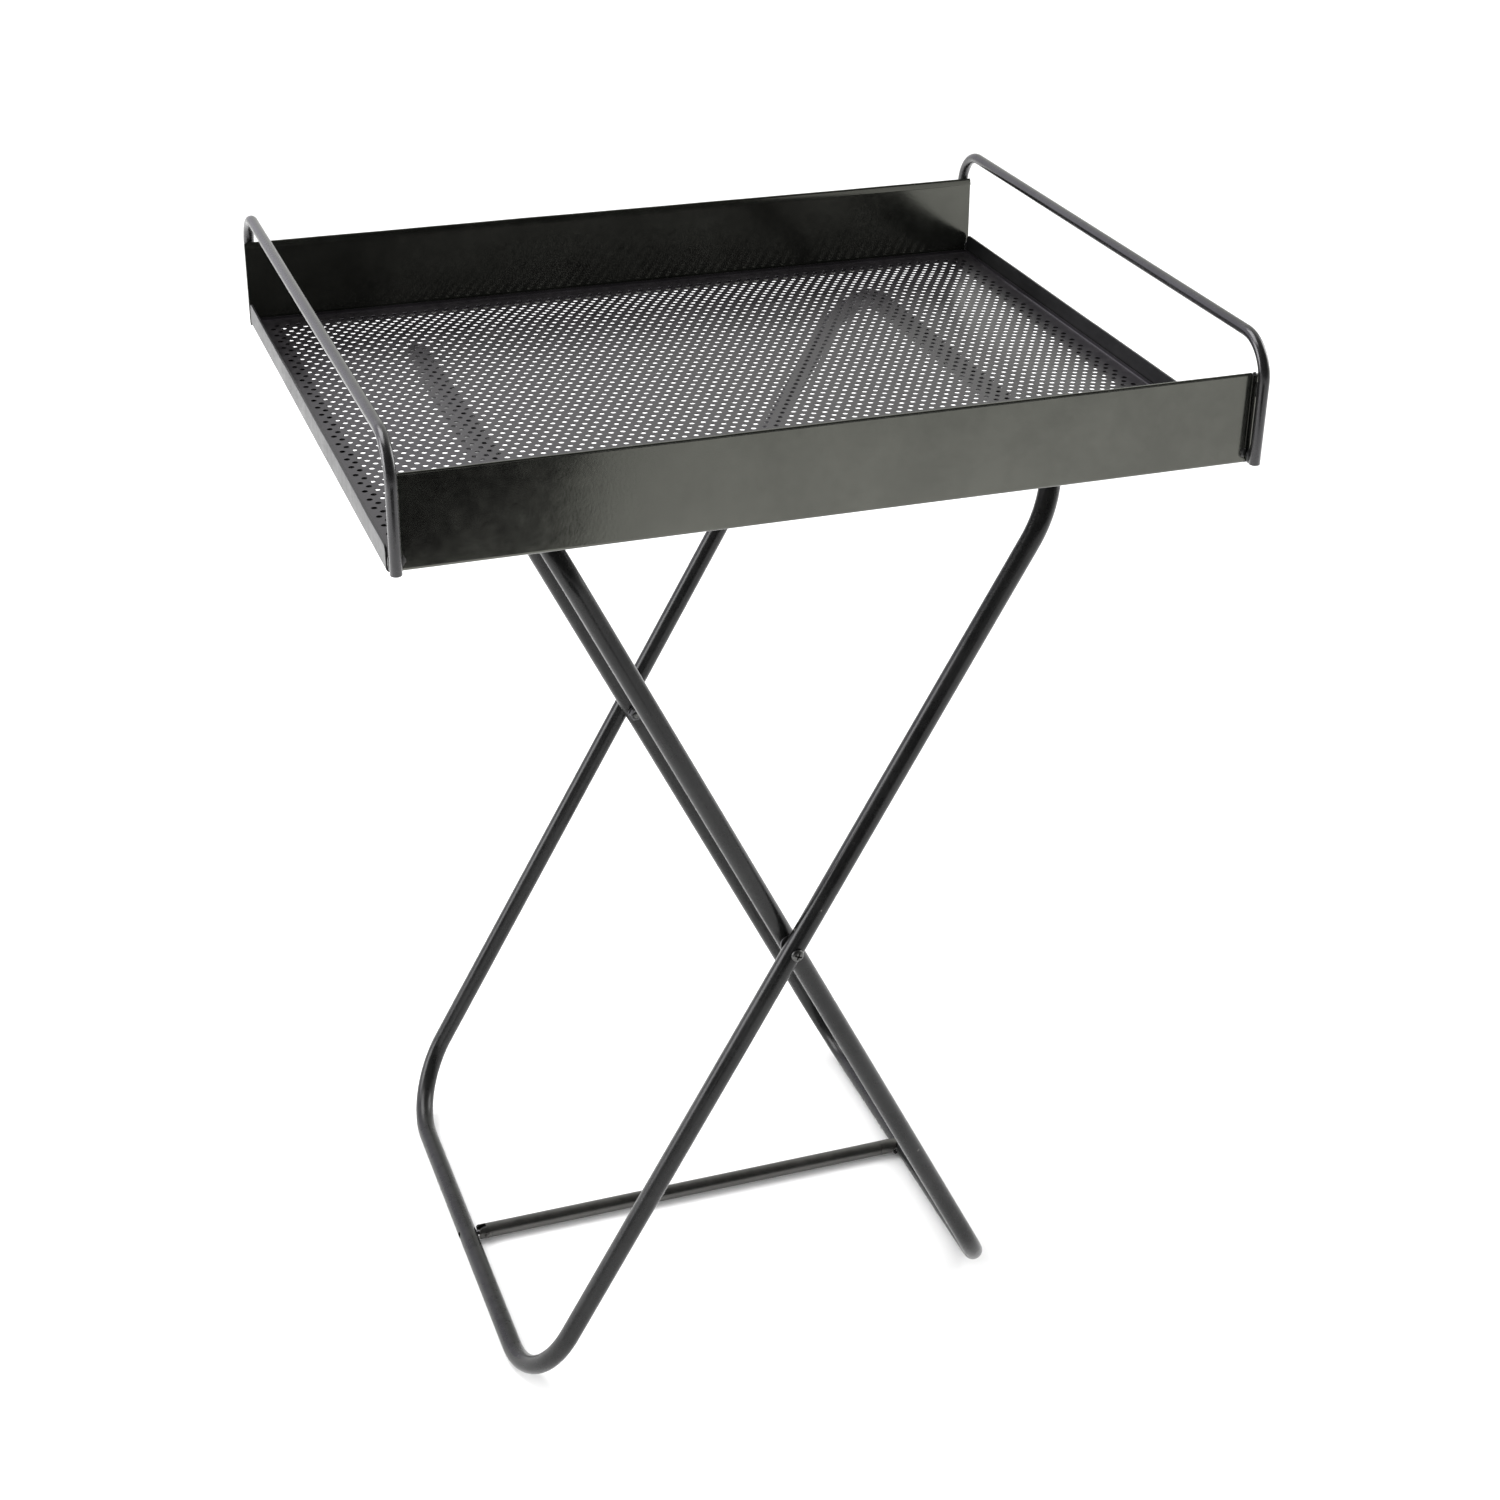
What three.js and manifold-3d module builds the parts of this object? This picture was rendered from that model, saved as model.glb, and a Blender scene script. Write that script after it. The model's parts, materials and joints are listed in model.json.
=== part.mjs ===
// Folding side table: a removable steel tray resting on two tube loops that cross like an X.
// Millimetres, +Z up, +X along the tray, +Y towards the back, origin on the floor under the
// tray centre.
import * as THREE from 'three';
import { mergeVertices } from 'three/addons/utils/BufferGeometryUtils.js';
import Module from 'manifold-3d';

// ---------------------------------------------------------------- shared dimensions
const GAP = 0.3;        // air between pieces that touch on the real table
const PLAY = 0.08;      // radial play of a pin or screw in its hole
const TRAY_Z = 555.6;   // lower edge of the side panels

// ---------------------------------------------------------------- tray dimensions
const PANEL = {
  height: 49.2,
  thickness: 1.2,
  faceY: 183.3,         // front panel: outer face at -Y, back panel: inner face at +Y
  frontHalf: 221.8,     // half length between the handle rods
  backHalf: 228.5,      // half length in front of the handle rods
  lap: 0.2,             // depth by which the flange and hem run into the web
};
const FLANGE = { width: 12, halfLength: 211.5 };    // return at a panel's foot
const HEM = { height: 3.4, thickness: 0.8, endInset: 1, topInset: 0.25 };

const LIP = { outerX: 228.3, thickness: 1.2, height: 13.5, leg: 16, halfLength: 181.7 };

const FLOOR = {
  halfX: 221.6,
  halfY: 181.2,
  thickness: 0.9,
  edgeRise: 1.5,        // underside of the edge above TRAY_Z
  crown: 4.9,           // rise of the middle over the two top bars
  flatX: 158,           // half size of the flat middle
  flatY: 112,
};

const HANDLE = {
  radius: 3.0,
  x: 225,
  y: 188.4,
  top: 66.0,            // rod axis above TRAY_Z
  foot: 1.0,            // rod ends above TRAY_Z
  bendRadius: 22,
};

// ---------------------------------------------------------------- leg dimensions
const TUBE = { radius: 5.75, bore: 4.55, bendRadius: 48, sides: 20, bendSteps: 10 };
const FERRULE = { radius: 4.2, length: 50 };
const SEAM = 0.6;       // butt seam of each loop, in the middle of its top bar

const GROUND_Z = TUBE.radius;
const TOP_BAR_Z = TRAY_Z + FLOOR.edgeRise + FLOOR.crown - GAP - TUBE.radius;
const REFERENCE_Z = TRAY_Z - 9;   // height at which the upper ends of the leg lines are given

function legLoop({ halfY, referenceX, groundX }) {
  const slope = (referenceX - groundX) / (REFERENCE_Z - GROUND_Z);
  return { halfY, groundX, slope, topX: groundX + slope * (TOP_BAR_Z - GROUND_Z) };
}
const OUTER = legLoop({ halfY: 156.3, referenceX: 134.0, groundX: -165.0 });
const INNER = legLoop({ halfY: 143.25, referenceX: -142.0, groundX: 133.5 });

// where the leg lines of the two loops cross
const PIVOT_RISE = (INNER.groundX - OUTER.groundX) / (OUTER.slope - INNER.slope);
const PIVOT_X = OUTER.groundX + OUTER.slope * PIVOT_RISE;
const PIVOT_Z = GROUND_Z + PIVOT_RISE;

const SCREW = { radius: 2.0, headRadius: 3.6, headHeight: 2.2, tipBeyondTube: 5.4 };
const SPACER_R = 5.2;
const WASHER = { radius: 4.4, thickness: 0.8 };
const NUT = { cornerRadius: 4.04, thickness: 3.0 };

// ---------------------------------------------------------------- stay dimensions
const STAY = { radius: 4.75, bore: 3.75, sides: 28 };
const STAY_END_R = 5.5;           // rounded end of the stay tube about its pivot
const BOLT_R = 1.6;               // shank of the eye bolt and of the stud
const SLOT_HALF = 1.95;           // half width of the slots that clear a shank
const RIVET_R = 1.3;
const EYE = { radius: 3.0, halfWidth: 1.6, x: OUTER.groundX + TUBE.radius + 6.25 };
const COLLAR = { radius: 2.35, thickness: 1.6, wallOffset: 1.0 };
const ACCESS_HOLE_R = 2.6;
const SEAT_X = INNER.groundX - 16.2;    // where the stay tube meets its end fitting
const PLUG_LENGTH = 14;
const NOSE_CLEARANCE = 0.45;      // between the end fitting and the ground bar
const STUD_HEAD = 9.6;            // face of the stud's head nearest the bar, from the bar axis
const HEAD_SLOT = { length: 6.4, half: 3.0 };
const LUG = { thickness: 1.8, width: 7, height: 2.4, tilt: -0.61 };
const CUT = 8;                    // reach of cutting tools past the stay axis

// ---------------------------------------------------------------- materials
const MATERIALS = {
  paint: { color: 0x1b1c1c, roughness: 0.42, metalness: 0.35 },
  sheet: { color: 0x232424, roughness: 0.45, metalness: 0.35 },
  floorSheet: { color: 0x2a2a2b, roughness: 0.5, metalness: 0.35 },
  steel: { color: 0x8d9094, roughness: 0.35, metalness: 1.0 },
  darkSteel: { color: 0x3a3b3d, roughness: 0.4, metalness: 0.9 },
};

// ---------------------------------------------------------------- mesh and solid helpers
const wasm = await Module();
wasm.setup();

// positions only, shared vertices, no collapsed triangles, faces pointing outward
function weld(geometry) {
  const bare = geometry.index ? geometry.toNonIndexed() : geometry.clone();
  for (const name of Object.keys(bare.attributes)) {
    if (name !== 'position') bare.deleteAttribute(name);
  }
  const merged = mergeVertices(bare, 1e-3);
  const source = merged.index.array;
  const kept = [];
  for (let i = 0; i < source.length; i += 3) {
    const [a, b, c] = source.slice(i, i + 3);
    if (a !== b && b !== c && a !== c) kept.push(a, b, c);
  }
  if (signedVolume(merged.attributes.position, kept) < 0) {
    for (let i = 0; i < kept.length; i += 3) {
      [kept[i + 1], kept[i + 2]] = [kept[i + 2], kept[i + 1]];
    }
  }
  merged.setIndex(kept);
  return merged;
}

function signedVolume(positions, index) {
  const corners = [new THREE.Vector3(), new THREE.Vector3(), new THREE.Vector3()];
  let volume = 0;
  for (let i = 0; i < index.length; i += 3) {
    corners.forEach((corner, k) => corner.fromBufferAttribute(positions, index[i + k]));
    volume += corners[0].dot(corners[1].cross(corners[2])) / 6;
  }
  return volume;
}

function solid(geometry) {
  const welded = weld(geometry);
  return new wasm.Manifold(new wasm.Mesh({
    numProp: 3,
    vertProperties: new Float32Array(welded.attributes.position.array),
    triVerts: new Uint32Array(welded.index.array),
  }));
}

function geometryOf(manifold) {
  const mesh = manifold.getMesh();
  const geometry = new THREE.BufferGeometry();
  const positions = new Float32Array(mesh.vertProperties);
  geometry.setAttribute('position', new THREE.BufferAttribute(positions, 3));
  geometry.setIndex(Array.from(mesh.triVerts));
  return weld(geometry);
}

const union = (...parts) => geometryOf(parts.map(solid).reduce((a, b) => a.add(b)));
const cut = (base, ...tools) =>
  geometryOf(tools.map(solid).reduce((a, b) => a.subtract(b), solid(base)));

// ---------------------------------------------------------------- shape helpers
const vectors2 = (pairs) => pairs.map(([x, y]) => new THREE.Vector2(x, y));

function box([x0, x1], [y0, y1], [z0, z1]) {
  const geometry = new THREE.BoxGeometry(x1 - x0, y1 - y0, z1 - z0);
  return geometry.translate((x0 + x1) / 2, (y0 + y1) / 2, (z0 + z1) / 2);
}

// cylinder along X on the axis of the stay
function rodX(radius, x0, x1, sides = 24) {
  const geometry = new THREE.CylinderGeometry(radius, radius, x1 - x0, sides);
  return geometry.rotateZ(Math.PI / 2).translate((x0 + x1) / 2, 0, GROUND_Z);
}

// cylinder along Y, centred on y = 0
function rodY(radius, halfLength, x, z, sides = 24) {
  return new THREE.CylinderGeometry(radius, radius, 2 * halfLength, sides).translate(x, 0, z);
}

function circle(radius, sides) {
  return Array.from({ length: sides }, (_, i) => {
    const angle = 2 * Math.PI * i / sides;
    return new THREE.Vector2(radius * Math.cos(angle), radius * Math.sin(angle));
  });
}

// outline with a round hole in it
function holedShape(outline, holeRadius, holeSides = 24) {
  const shape = new THREE.Shape(outline);
  shape.holes.push(new THREE.Path(circle(holeRadius, holeSides).reverse()));
  return shape;
}

const extrude = (shape, depth) =>
  new THREE.ExtrudeGeometry(shape, { depth, bevelEnabled: false });

// shape drawn in X and Z, extruded from y0 to y1
const prismY = (shape, y0, y1, x, z) =>
  extrude(shape, y1 - y0).rotateX(Math.PI / 2).translate(x, y1, z);

// solid of revolution about Y; profile columns: radius, y
const lathe = (profile, sides) => new THREE.LatheGeometry(vectors2(profile), sides);

// a curve given by stations, so that rings fall only where the path bends
class StationCurve extends THREE.Curve {
  constructor(stations) {
    super();
    this.stations = stations;
  }
  station(u) {
    return this.stations[Math.round(u * (this.stations.length - 1))];
  }
  getPointAt(u, target = new THREE.Vector3()) {
    return target.copy(this.station(u).point);
  }
  getTangentAt(u, target = new THREE.Vector3()) {
    return target.copy(this.station(u).tangent);
  }
}

// stations along a polyline with rounded corners
function roundedPath(corners, bendRadius, bendSteps) {
  const points = corners.map((corner) => new THREE.Vector3(...corner));
  const last = points.length - 1;
  const direction = (from) => points[from + 1].clone().sub(points[from]).normalize();
  const stations = [{ point: points[0], tangent: direction(0) }];
  for (let i = 1; i < last; i++) {
    const before = direction(i - 1);
    const after = direction(i);
    const turn = before.angleTo(after);
    const start = points[i].clone().addScaledVector(before, -bendRadius * Math.tan(turn / 2));
    const inward = after.clone().addScaledVector(before, -after.dot(before)).normalize();
    const centre = start.clone().addScaledVector(inward, bendRadius);
    for (let k = 0; k <= bendSteps; k++) {
      const angle = turn * k / bendSteps;
      const cos = Math.cos(angle);
      const sin = Math.sin(angle);
      stations.push({
        point: centre.clone().addScaledVector(inward, -bendRadius * cos)
          .addScaledVector(before, bendRadius * sin),
        tangent: before.clone().multiplyScalar(cos).addScaledVector(inward, sin),
      });
    }
  }
  stations.push({ point: points[last], tangent: direction(last - 1) });
  return stations;
}

function sweep(stations, shape) {
  return new THREE.ExtrudeGeometry(shape, {
    steps: stations.length - 1,
    extrudePath: new StationCurve(stations),
    bevelEnabled: false,
  });
}

// ---------------------------------------------------------------- tray
// long side panel: web, inward return under the floor, hem folded to the inside;
// inward is the sign of Y towards the tray centre
function sidePanel(halfLength, innerY, inward) {
  const topZ = TRAY_Z + PANEL.height;
  const slab = (halfX, outDepth, inDepth, zRange) => {
    const yRange = [innerY - inward * outDepth, innerY + inward * inDepth];
    return box([-halfX, halfX], yRange.sort((a, b) => a - b), zRange);
  };
  return union(
    slab(halfLength, PANEL.thickness, 0, [TRAY_Z, topZ]),
    slab(FLANGE.halfLength, PANEL.lap, FLANGE.width, [TRAY_Z, TRAY_Z + PANEL.thickness]),
    slab(halfLength - HEM.endInset, PANEL.lap, HEM.thickness,
      [topZ - HEM.height, topZ - HEM.topInset]),
  );
}

// angle closing a short side: upright leg outside, flat leg under the floor
function lip(side) {
  const { leg, thickness, height, halfLength, outerX } = LIP;
  // columns: distance in from the outer face, height
  const outline = [
    [0, 0], [leg, 0], [leg, thickness],
    [thickness, thickness], [thickness, height], [0, height],
  ].map(([depth, z]) => [side * (outerX - depth), z]);
  return prismY(new THREE.Shape(vectors2(outline)), -halfLength, halfLength, 0, TRAY_Z);
}

// floor sheet: flat in the middle, falling gently to its edges
function trayFloor() {
  const geometry = new THREE.BoxGeometry(2, 2, 1, 16, 14, 1);
  const positions = geometry.attributes.position;
  // the inner half of the grid covers the flat middle, the outer half the falling border
  const spread = (u, half, flat) => {
    const t = Math.abs(u);
    const distance = t <= 0.5 ? t * 2 * flat : flat + (t - 0.5) * 2 * (half - flat);
    return Math.sign(u) * distance;
  };
  const smoothFall = (distance, half, flat) => {
    const t = Math.min(1, Math.max(0, (half - Math.abs(distance)) / (half - flat)));
    return t * t * (3 - 2 * t);
  };
  for (let i = 0; i < positions.count; i++) {
    const x = spread(positions.getX(i), FLOOR.halfX, FLOOR.flatX);
    const y = spread(positions.getY(i), FLOOR.halfY, FLOOR.flatY);
    const rise = FLOOR.crown * smoothFall(x, FLOOR.halfX, FLOOR.flatX)
      * smoothFall(y, FLOOR.halfY, FLOOR.flatY);
    const layer = (positions.getZ(i) + 0.5) * FLOOR.thickness;
    positions.setXYZ(i, x, y, TRAY_Z + FLOOR.edgeRise + rise + layer);
  }
  return geometry;
}

// one rod, down the ends of both panels
function handle(side) {
  const { y, radius, bendRadius } = HANDLE;
  const x = side * HANDLE.x;
  const footZ = TRAY_Z + HANDLE.foot;
  const topZ = TRAY_Z + HANDLE.top;
  const corners = [[x, -y, footZ], [x, -y, topZ], [x, y, topZ], [x, y, footZ]];
  return sweep(roundedPath(corners, bendRadius, 9), new THREE.Shape(circle(radius, 16)));
}

// ---------------------------------------------------------------- leg loops
const tubeShape = ({ radius, bore, sides }) => holedShape(circle(radius, sides), bore, sides);

// one bent tube, closed by a seam in the middle of the top bar, bored for the pivot screws
function frameLoop({ topX, groundX, halfY }, ...bores) {
  const corners = [
    [topX, SEAM / 2, TOP_BAR_Z], [topX, halfY, TOP_BAR_Z], [groundX, halfY, GROUND_Z],
    [groundX, -halfY, GROUND_Z], [topX, -halfY, TOP_BAR_Z], [topX, -SEAM / 2, TOP_BAR_Z],
  ];
  const tube = sweep(roundedPath(corners, TUBE.bendRadius, TUBE.bendSteps), tubeShape(TUBE));
  return cut(tube, rodY(SCREW.radius + PLAY, 220, PIVOT_X, PIVOT_Z), ...bores);
}

function outerLoop() {
  const x = OUTER.groundX;
  const boltHole = rodX(BOLT_R + PLAY, x, x + 12);
  const accessHole = rodX(ACCESS_HOLE_R, x - 12, x);
  return frameLoop(OUTER, boltHole, accessHole);
}

function innerLoop() {
  const x = INNER.groundX;
  return frameLoop(INNER, rodX(BOLT_R + PLAY, x - 12, x + 12));
}

const ferrule = ({ topX }) => rodY(FERRULE.radius, FERRULE.length / 2, topX, TOP_BAR_Z);

// ---------------------------------------------------------------- pivots, built at +Y
const INNER_LEG_INSIDE = INNER.halfY - TUBE.radius;

// cross-head screw, entered from the outside
function pivotScrew() {
  const { radius, headRadius, headHeight } = SCREW;
  const headY = OUTER.halfY + TUBE.radius + GAP;
  const tipY = INNER_LEG_INSIDE - SCREW.tipBeyondTube;
  const screw = lathe([
    [0, tipY], [radius - 0.4, tipY], [radius, tipY + 0.5], [radius, headY],
    [headRadius, headY], [headRadius, headY + 0.9], [headRadius * 0.86, headY + 1.6],
    [headRadius * 0.5, headY + headHeight], [0, headY + headHeight],
  ], 24);
  const slot = (halfX, halfZ) => box([-halfX, halfX], [headY + 1.0, headY + 3], [-halfZ, halfZ]);
  return cut(screw, slot(2.0, 0.42), slot(0.42, 2.0)).translate(PIVOT_X, 0, PIVOT_Z);
}

// flat ring or hexagon around the pivot screw
const pivotRing = (outline, y0, y1) =>
  prismY(holedShape(outline, SCREW.radius + PLAY), y0, y1, PIVOT_X, PIVOT_Z);

const pivotSpacer = () => pivotRing(circle(SPACER_R, 28),
  INNER.halfY + TUBE.radius + GAP, OUTER.halfY - TUBE.radius - GAP);

const WASHER_Y = INNER_LEG_INSIDE - GAP - WASHER.thickness;
const pivotWasher = () =>
  pivotRing(circle(WASHER.radius, 28), WASHER_Y, WASHER_Y + WASHER.thickness);

const pivotNut = () =>
  pivotRing(circle(NUT.cornerRadius, 6), WASHER_Y - GAP - NUT.thickness, WASHER_Y - GAP);

// ---------------------------------------------------------------- stay between the ground bars
// eye bolt held in the outer loop's ground bar
function stayEyeBolt() {
  const eye = rodY(EYE.radius, EYE.halfWidth, EYE.x, GROUND_Z, 28);
  const shank = rodX(BOLT_R, OUTER.groundX - 1.0, EYE.x - 2.2);
  return cut(union(eye, shank), rodY(RIVET_R + PLAY, 5, EYE.x, GROUND_Z));
}

// collar on the bolt inside the tube, reached through the larger hole in the outer wall
function stayEyeCollar() {
  const geometry = extrude(holedShape(circle(COLLAR.radius, 24), BOLT_R + PLAY), COLLAR.thickness);
  return geometry.rotateY(-Math.PI / 2)
    .translate(OUTER.groundX + TUBE.bore - COLLAR.wallOffset, 0, GROUND_Z);
}

// tube pinned over the eye, its pivot end rounded and slotted in the upper half
function stayTube() {
  const ends = [[EYE.x - STAY_END_R, 0, GROUND_Z], [SEAT_X - GAP, 0, GROUND_Z]];
  const tube = solid(sweep(roundedPath(ends), tubeShape(STAY)));
  const roundEnd = solid(rodY(STAY_END_R, CUT, EYE.x, GROUND_Z, 48));
  const rest = solid(box([EYE.x, SEAT_X + 1], [-CUT, CUT], [GROUND_Z - CUT, GROUND_Z + CUT]));
  const slot = box([EYE.x - 8, EYE.x - 0.2], [-SLOT_HALF, SLOT_HALF], [GROUND_Z, GROUND_Z + CUT]);
  return geometryOf(tube.intersect(roundEnd.add(rest))
    .subtract(solid(slot))
    .subtract(solid(rodY(RIVET_R + PLAY, CUT, EYE.x, GROUND_Z))));
}

// rivet through the eye, headed on both sides of the stay tube
function stayRivet() {
  const headY = STAY.radius + GAP;
  const headHeight = 0.7;
  const backHalf = [
    [RIVET_R, headY], [2.1, headY], [2.1, headY + headHeight * 0.4],
    [1.5, headY + headHeight], [0, headY + headHeight],
  ];
  const frontHalf = backHalf.map(([radius, y]) => [radius, -y]).reverse();
  return lathe([...frontHalf, ...backHalf], 20).translate(EYE.x, 0, GROUND_Z);
}

// end fitting: plug in the tube, full-size nose with a slanted passage for the ground bar,
// T-slot open downwards for the stud
function stayEnd() {
  const plug = rodX(STAY.bore - GAP, SEAT_X - PLUG_LENGTH, SEAT_X + 0.4, STAY.sides);
  const nose = rodX(STAY.radius, SEAT_X, INNER.groundX - 4, STAY.sides);

  // half circle about the ground bar, carried on down and towards -X
  const startAngle = Math.PI * 5 / 6;
  const radius = TUBE.radius + NOSE_CLEARANCE;
  const outline = [];
  for (let i = 0; i <= 16; i++) {
    const angle = startAngle - Math.PI * i / 16;
    outline.push(new THREE.Vector2(radius * Math.cos(angle), radius * Math.sin(angle)));
  }
  const exit = new THREE.Vector2(-Math.sin(startAngle), Math.cos(startAngle)).multiplyScalar(20);
  outline.push(outline[16].clone().add(exit), outline[0].clone().add(exit));
  const passage = prismY(new THREE.Shape(outline), -CUT, CUT, INNER.groundX, GROUND_Z);

  const faceX = INNER.groundX - STUD_HEAD + GAP;
  const slot = (x0, x1, half) =>
    box([x0, x1], [-half, half], [GROUND_Z - CUT, GROUND_Z + half]);
  return geometryOf(solid(plug).add(solid(nose))
    .subtract(solid(passage))
    .subtract(solid(slot(faceX - HEAD_SLOT.length, faceX, HEAD_SLOT.half)))
    .subtract(solid(slot(faceX - 1, INNER.groundX, SLOT_HALF))));
}

// headed pin through the inner loop's ground bar, domed over on the +X side
function stayStud() {
  const domeStart = TUBE.radius + GAP;
  return lathe([
    [0, -STUD_HEAD - 1.3], [2.1, -STUD_HEAD - 1.3], [2.6, -STUD_HEAD - 0.9],
    [2.6, -STUD_HEAD], [BOLT_R, -STUD_HEAD], [BOLT_R, domeStart], [3.0, domeStart],
    [2.7, domeStart + 0.8], [1.6, domeStart + 1.5], [0, domeStart + 1.7],
  ], 24).rotateZ(-Math.PI / 2).translate(INNER.groundX, 0, GROUND_Z);
}

// lug under the end of the stay, on the lower inner side of the ground bar
function stayLug() {
  return new THREE.BoxGeometry(LUG.thickness, LUG.width, LUG.height)
    .translate(-(TUBE.radius + GAP + LUG.thickness / 2), 0, 0)
    .rotateY(LUG.tilt)
    .translate(INNER.groundX, 0, GROUND_Z);
}

// ---------------------------------------------------------------- assembly
const group = new THREE.Group();
group.name = 'folding_side_table';

function add(name, geometry, finish) {
  const mesh = new THREE.Mesh(weld(geometry), new THREE.MeshStandardMaterial(finish));
  mesh.geometry.computeVertexNormals();
  mesh.name = name;
  group.add(mesh);
}

const { paint, sheet, floorSheet, steel, darkSteel } = MATERIALS;
const LEFT_RIGHT = [['left', -1], ['right', 1]];

add('front_panel', sidePanel(PANEL.frontHalf, -PANEL.faceY + PANEL.thickness, 1), sheet);
add('back_panel', sidePanel(PANEL.backHalf, PANEL.faceY, -1), sheet);
for (const [label, side] of LEFT_RIGHT) add(`lip_${label}`, lip(side), sheet);
add('tray_floor', trayFloor(), floorSheet);
for (const [label, side] of LEFT_RIGHT) add(`handle_${label}`, handle(side), paint);

add('frame_a_loop', outerLoop(), paint);
add('frame_b_loop', innerLoop(), paint);
add('frame_a_ferrule', ferrule(OUTER), darkSteel);
add('frame_b_ferrule', ferrule(INNER), darkSteel);

const pivotParts = {
  screw: pivotScrew, spacer: pivotSpacer, washer: pivotWasher, nut: pivotNut,
};
for (const [label, side] of [['front', -1], ['back', 1]]) {
  for (const [part, build] of Object.entries(pivotParts)) {
    add(`pivot_${part}_${label}`, build().scale(1, side, 1), steel);
  }
}

add('stay_eye_bolt', stayEyeBolt(), darkSteel);
add('stay_eye_collar', stayEyeCollar(), darkSteel);
add('stay_tube', stayTube(), paint);
add('stay_rivet', stayRivet(), steel);
add('stay_end', stayEnd(), paint);
add('stay_stud', stayStud(), darkSteel);
add('stay_lug', stayLug(), paint);

export default group;
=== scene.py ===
"""Folding tray table: a perforated steel tray with a wire handle at each end, on two
crossed tube loops joined by pivot screws and held open by a stay.

The long side of the tray runs along X, its front faces -Y and Z is up from the ground at 0.
Sizes are in millimetres unless a comment says otherwise. The meshes are built in metres.
"""
import json
import math
import random

import bpy
import bmesh
import numpy as np
from mathutils import Matrix, Vector


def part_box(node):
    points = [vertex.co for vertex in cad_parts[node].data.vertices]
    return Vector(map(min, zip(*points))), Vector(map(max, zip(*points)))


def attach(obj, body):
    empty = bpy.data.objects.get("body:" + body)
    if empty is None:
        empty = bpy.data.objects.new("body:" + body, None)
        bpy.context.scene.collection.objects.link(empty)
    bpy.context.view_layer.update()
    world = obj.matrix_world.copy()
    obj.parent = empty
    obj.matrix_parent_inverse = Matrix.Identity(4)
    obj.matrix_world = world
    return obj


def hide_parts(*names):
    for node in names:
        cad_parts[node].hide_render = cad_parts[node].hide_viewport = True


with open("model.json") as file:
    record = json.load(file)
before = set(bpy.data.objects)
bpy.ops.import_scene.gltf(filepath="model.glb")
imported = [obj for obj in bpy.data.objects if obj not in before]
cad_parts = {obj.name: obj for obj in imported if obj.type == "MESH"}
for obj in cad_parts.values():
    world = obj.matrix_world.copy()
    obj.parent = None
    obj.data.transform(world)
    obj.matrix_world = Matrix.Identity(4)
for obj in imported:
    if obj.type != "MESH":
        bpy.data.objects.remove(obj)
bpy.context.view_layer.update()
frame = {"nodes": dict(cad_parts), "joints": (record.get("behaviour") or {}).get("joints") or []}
MM = 0.001                              # one millimetre in metres
METRE = 1000.0                          # one metre in millimetres


def box_mm(node):
    """The low and high corners of a CAD node's box."""
    lo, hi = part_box(node)
    return np.array(lo) * METRE, np.array(hi) * METRE


def joint_mm(name):
    """The place of a joint."""
    joint = next(j for j in frame["joints"] if j["name"] == name)
    return np.array(joint["pos_m"]) * METRE


# ------------------------------------------------------------------ driving dimensions
FRONT_LO, FRONT_HI = box_mm("front_panel")
BASE_Z, RIM_Z = FRONT_LO[2], FRONT_HI[2]        # bottom and top of the side panels
PANEL_THICK = 1.2                               # sheet of the panels and the end angles

PIVOT_X, _, PIVOT_Z = joint_mm("frame_fold")
EYE_X, _, STAY_Z = joint_mm("stay_swing")

TUBE_R, TUBE_BORE_R = 5.75, 4.55
TUBE_BEND = 48.0
LOOP_TOP_Z = box_mm("frame_a_loop")[1][2] - TUBE_R
# (x, z) of each loop's top bar and ground bar, and half the loop's width along Y
LOOP_A_TOP, LOOP_A_GROUND, LOOP_A_HALF = (139.16899, LOOP_TOP_Z), (-165.0, TUBE_R), 156.3
LOOP_B_TOP, LOOP_B_GROUND, LOOP_B_HALF = (-146.76273, LOOP_TOP_Z), (133.5, TUBE_R), 143.25
EYE_HOLE_R = 1.68                               # holes for the eye bolt and the stud


# ------------------------------------------------------------------ objects and finishing
def shade(ob, angle):
    """Smooth shading, with edges sharper than the angle in degrees kept sharp."""
    mesh = ob.data
    mesh.polygons.foreach_set("use_smooth", [True] * len(mesh.polygons))
    mesh.set_sharp_from_angle(angle=math.radians(angle))
    mesh.update()


def solid(name, geometry, smooth=32.0):
    """A bare object from (vertices, faces)."""
    verts, faces = geometry
    mesh = bpy.data.meshes.new(name)
    mesh.from_pydata([(v[0] * MM, v[1] * MM, v[2] * MM) for v in verts], [], faces)
    mesh.validate()
    bm = bmesh.new()
    bm.from_mesh(mesh)
    bmesh.ops.recalc_face_normals(bm, faces=bm.faces)
    bm.to_mesh(mesh)
    bm.free()
    ob = bpy.data.objects.new(name, mesh)
    bpy.context.scene.collection.objects.link(ob)
    shade(ob, smooth)
    return ob


def cutter(geometry):
    return solid("cutter", geometry)


def register(ob, material, body, node):
    """Gives the object its material, parents it to the empty of its moving body, and hides the CAD
    node it stands for.
    """
    ob.data.materials.clear()
    ob.data.materials.append(material)
    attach(ob, body)
    if node:
        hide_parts(node)


def piece(name, geometry, material, body, node=None, smooth=34):
    """A finished piece that needs no cutting."""
    register(solid(name, geometry, smooth), material, body, node)


def apply_modifiers(ob):
    depsgraph = bpy.context.evaluated_depsgraph_get()
    baked = bpy.data.meshes.new_from_object(ob.evaluated_get(depsgraph))
    old = ob.data
    ob.modifiers.clear()
    ob.data = baked
    bpy.data.meshes.remove(old)


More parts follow.
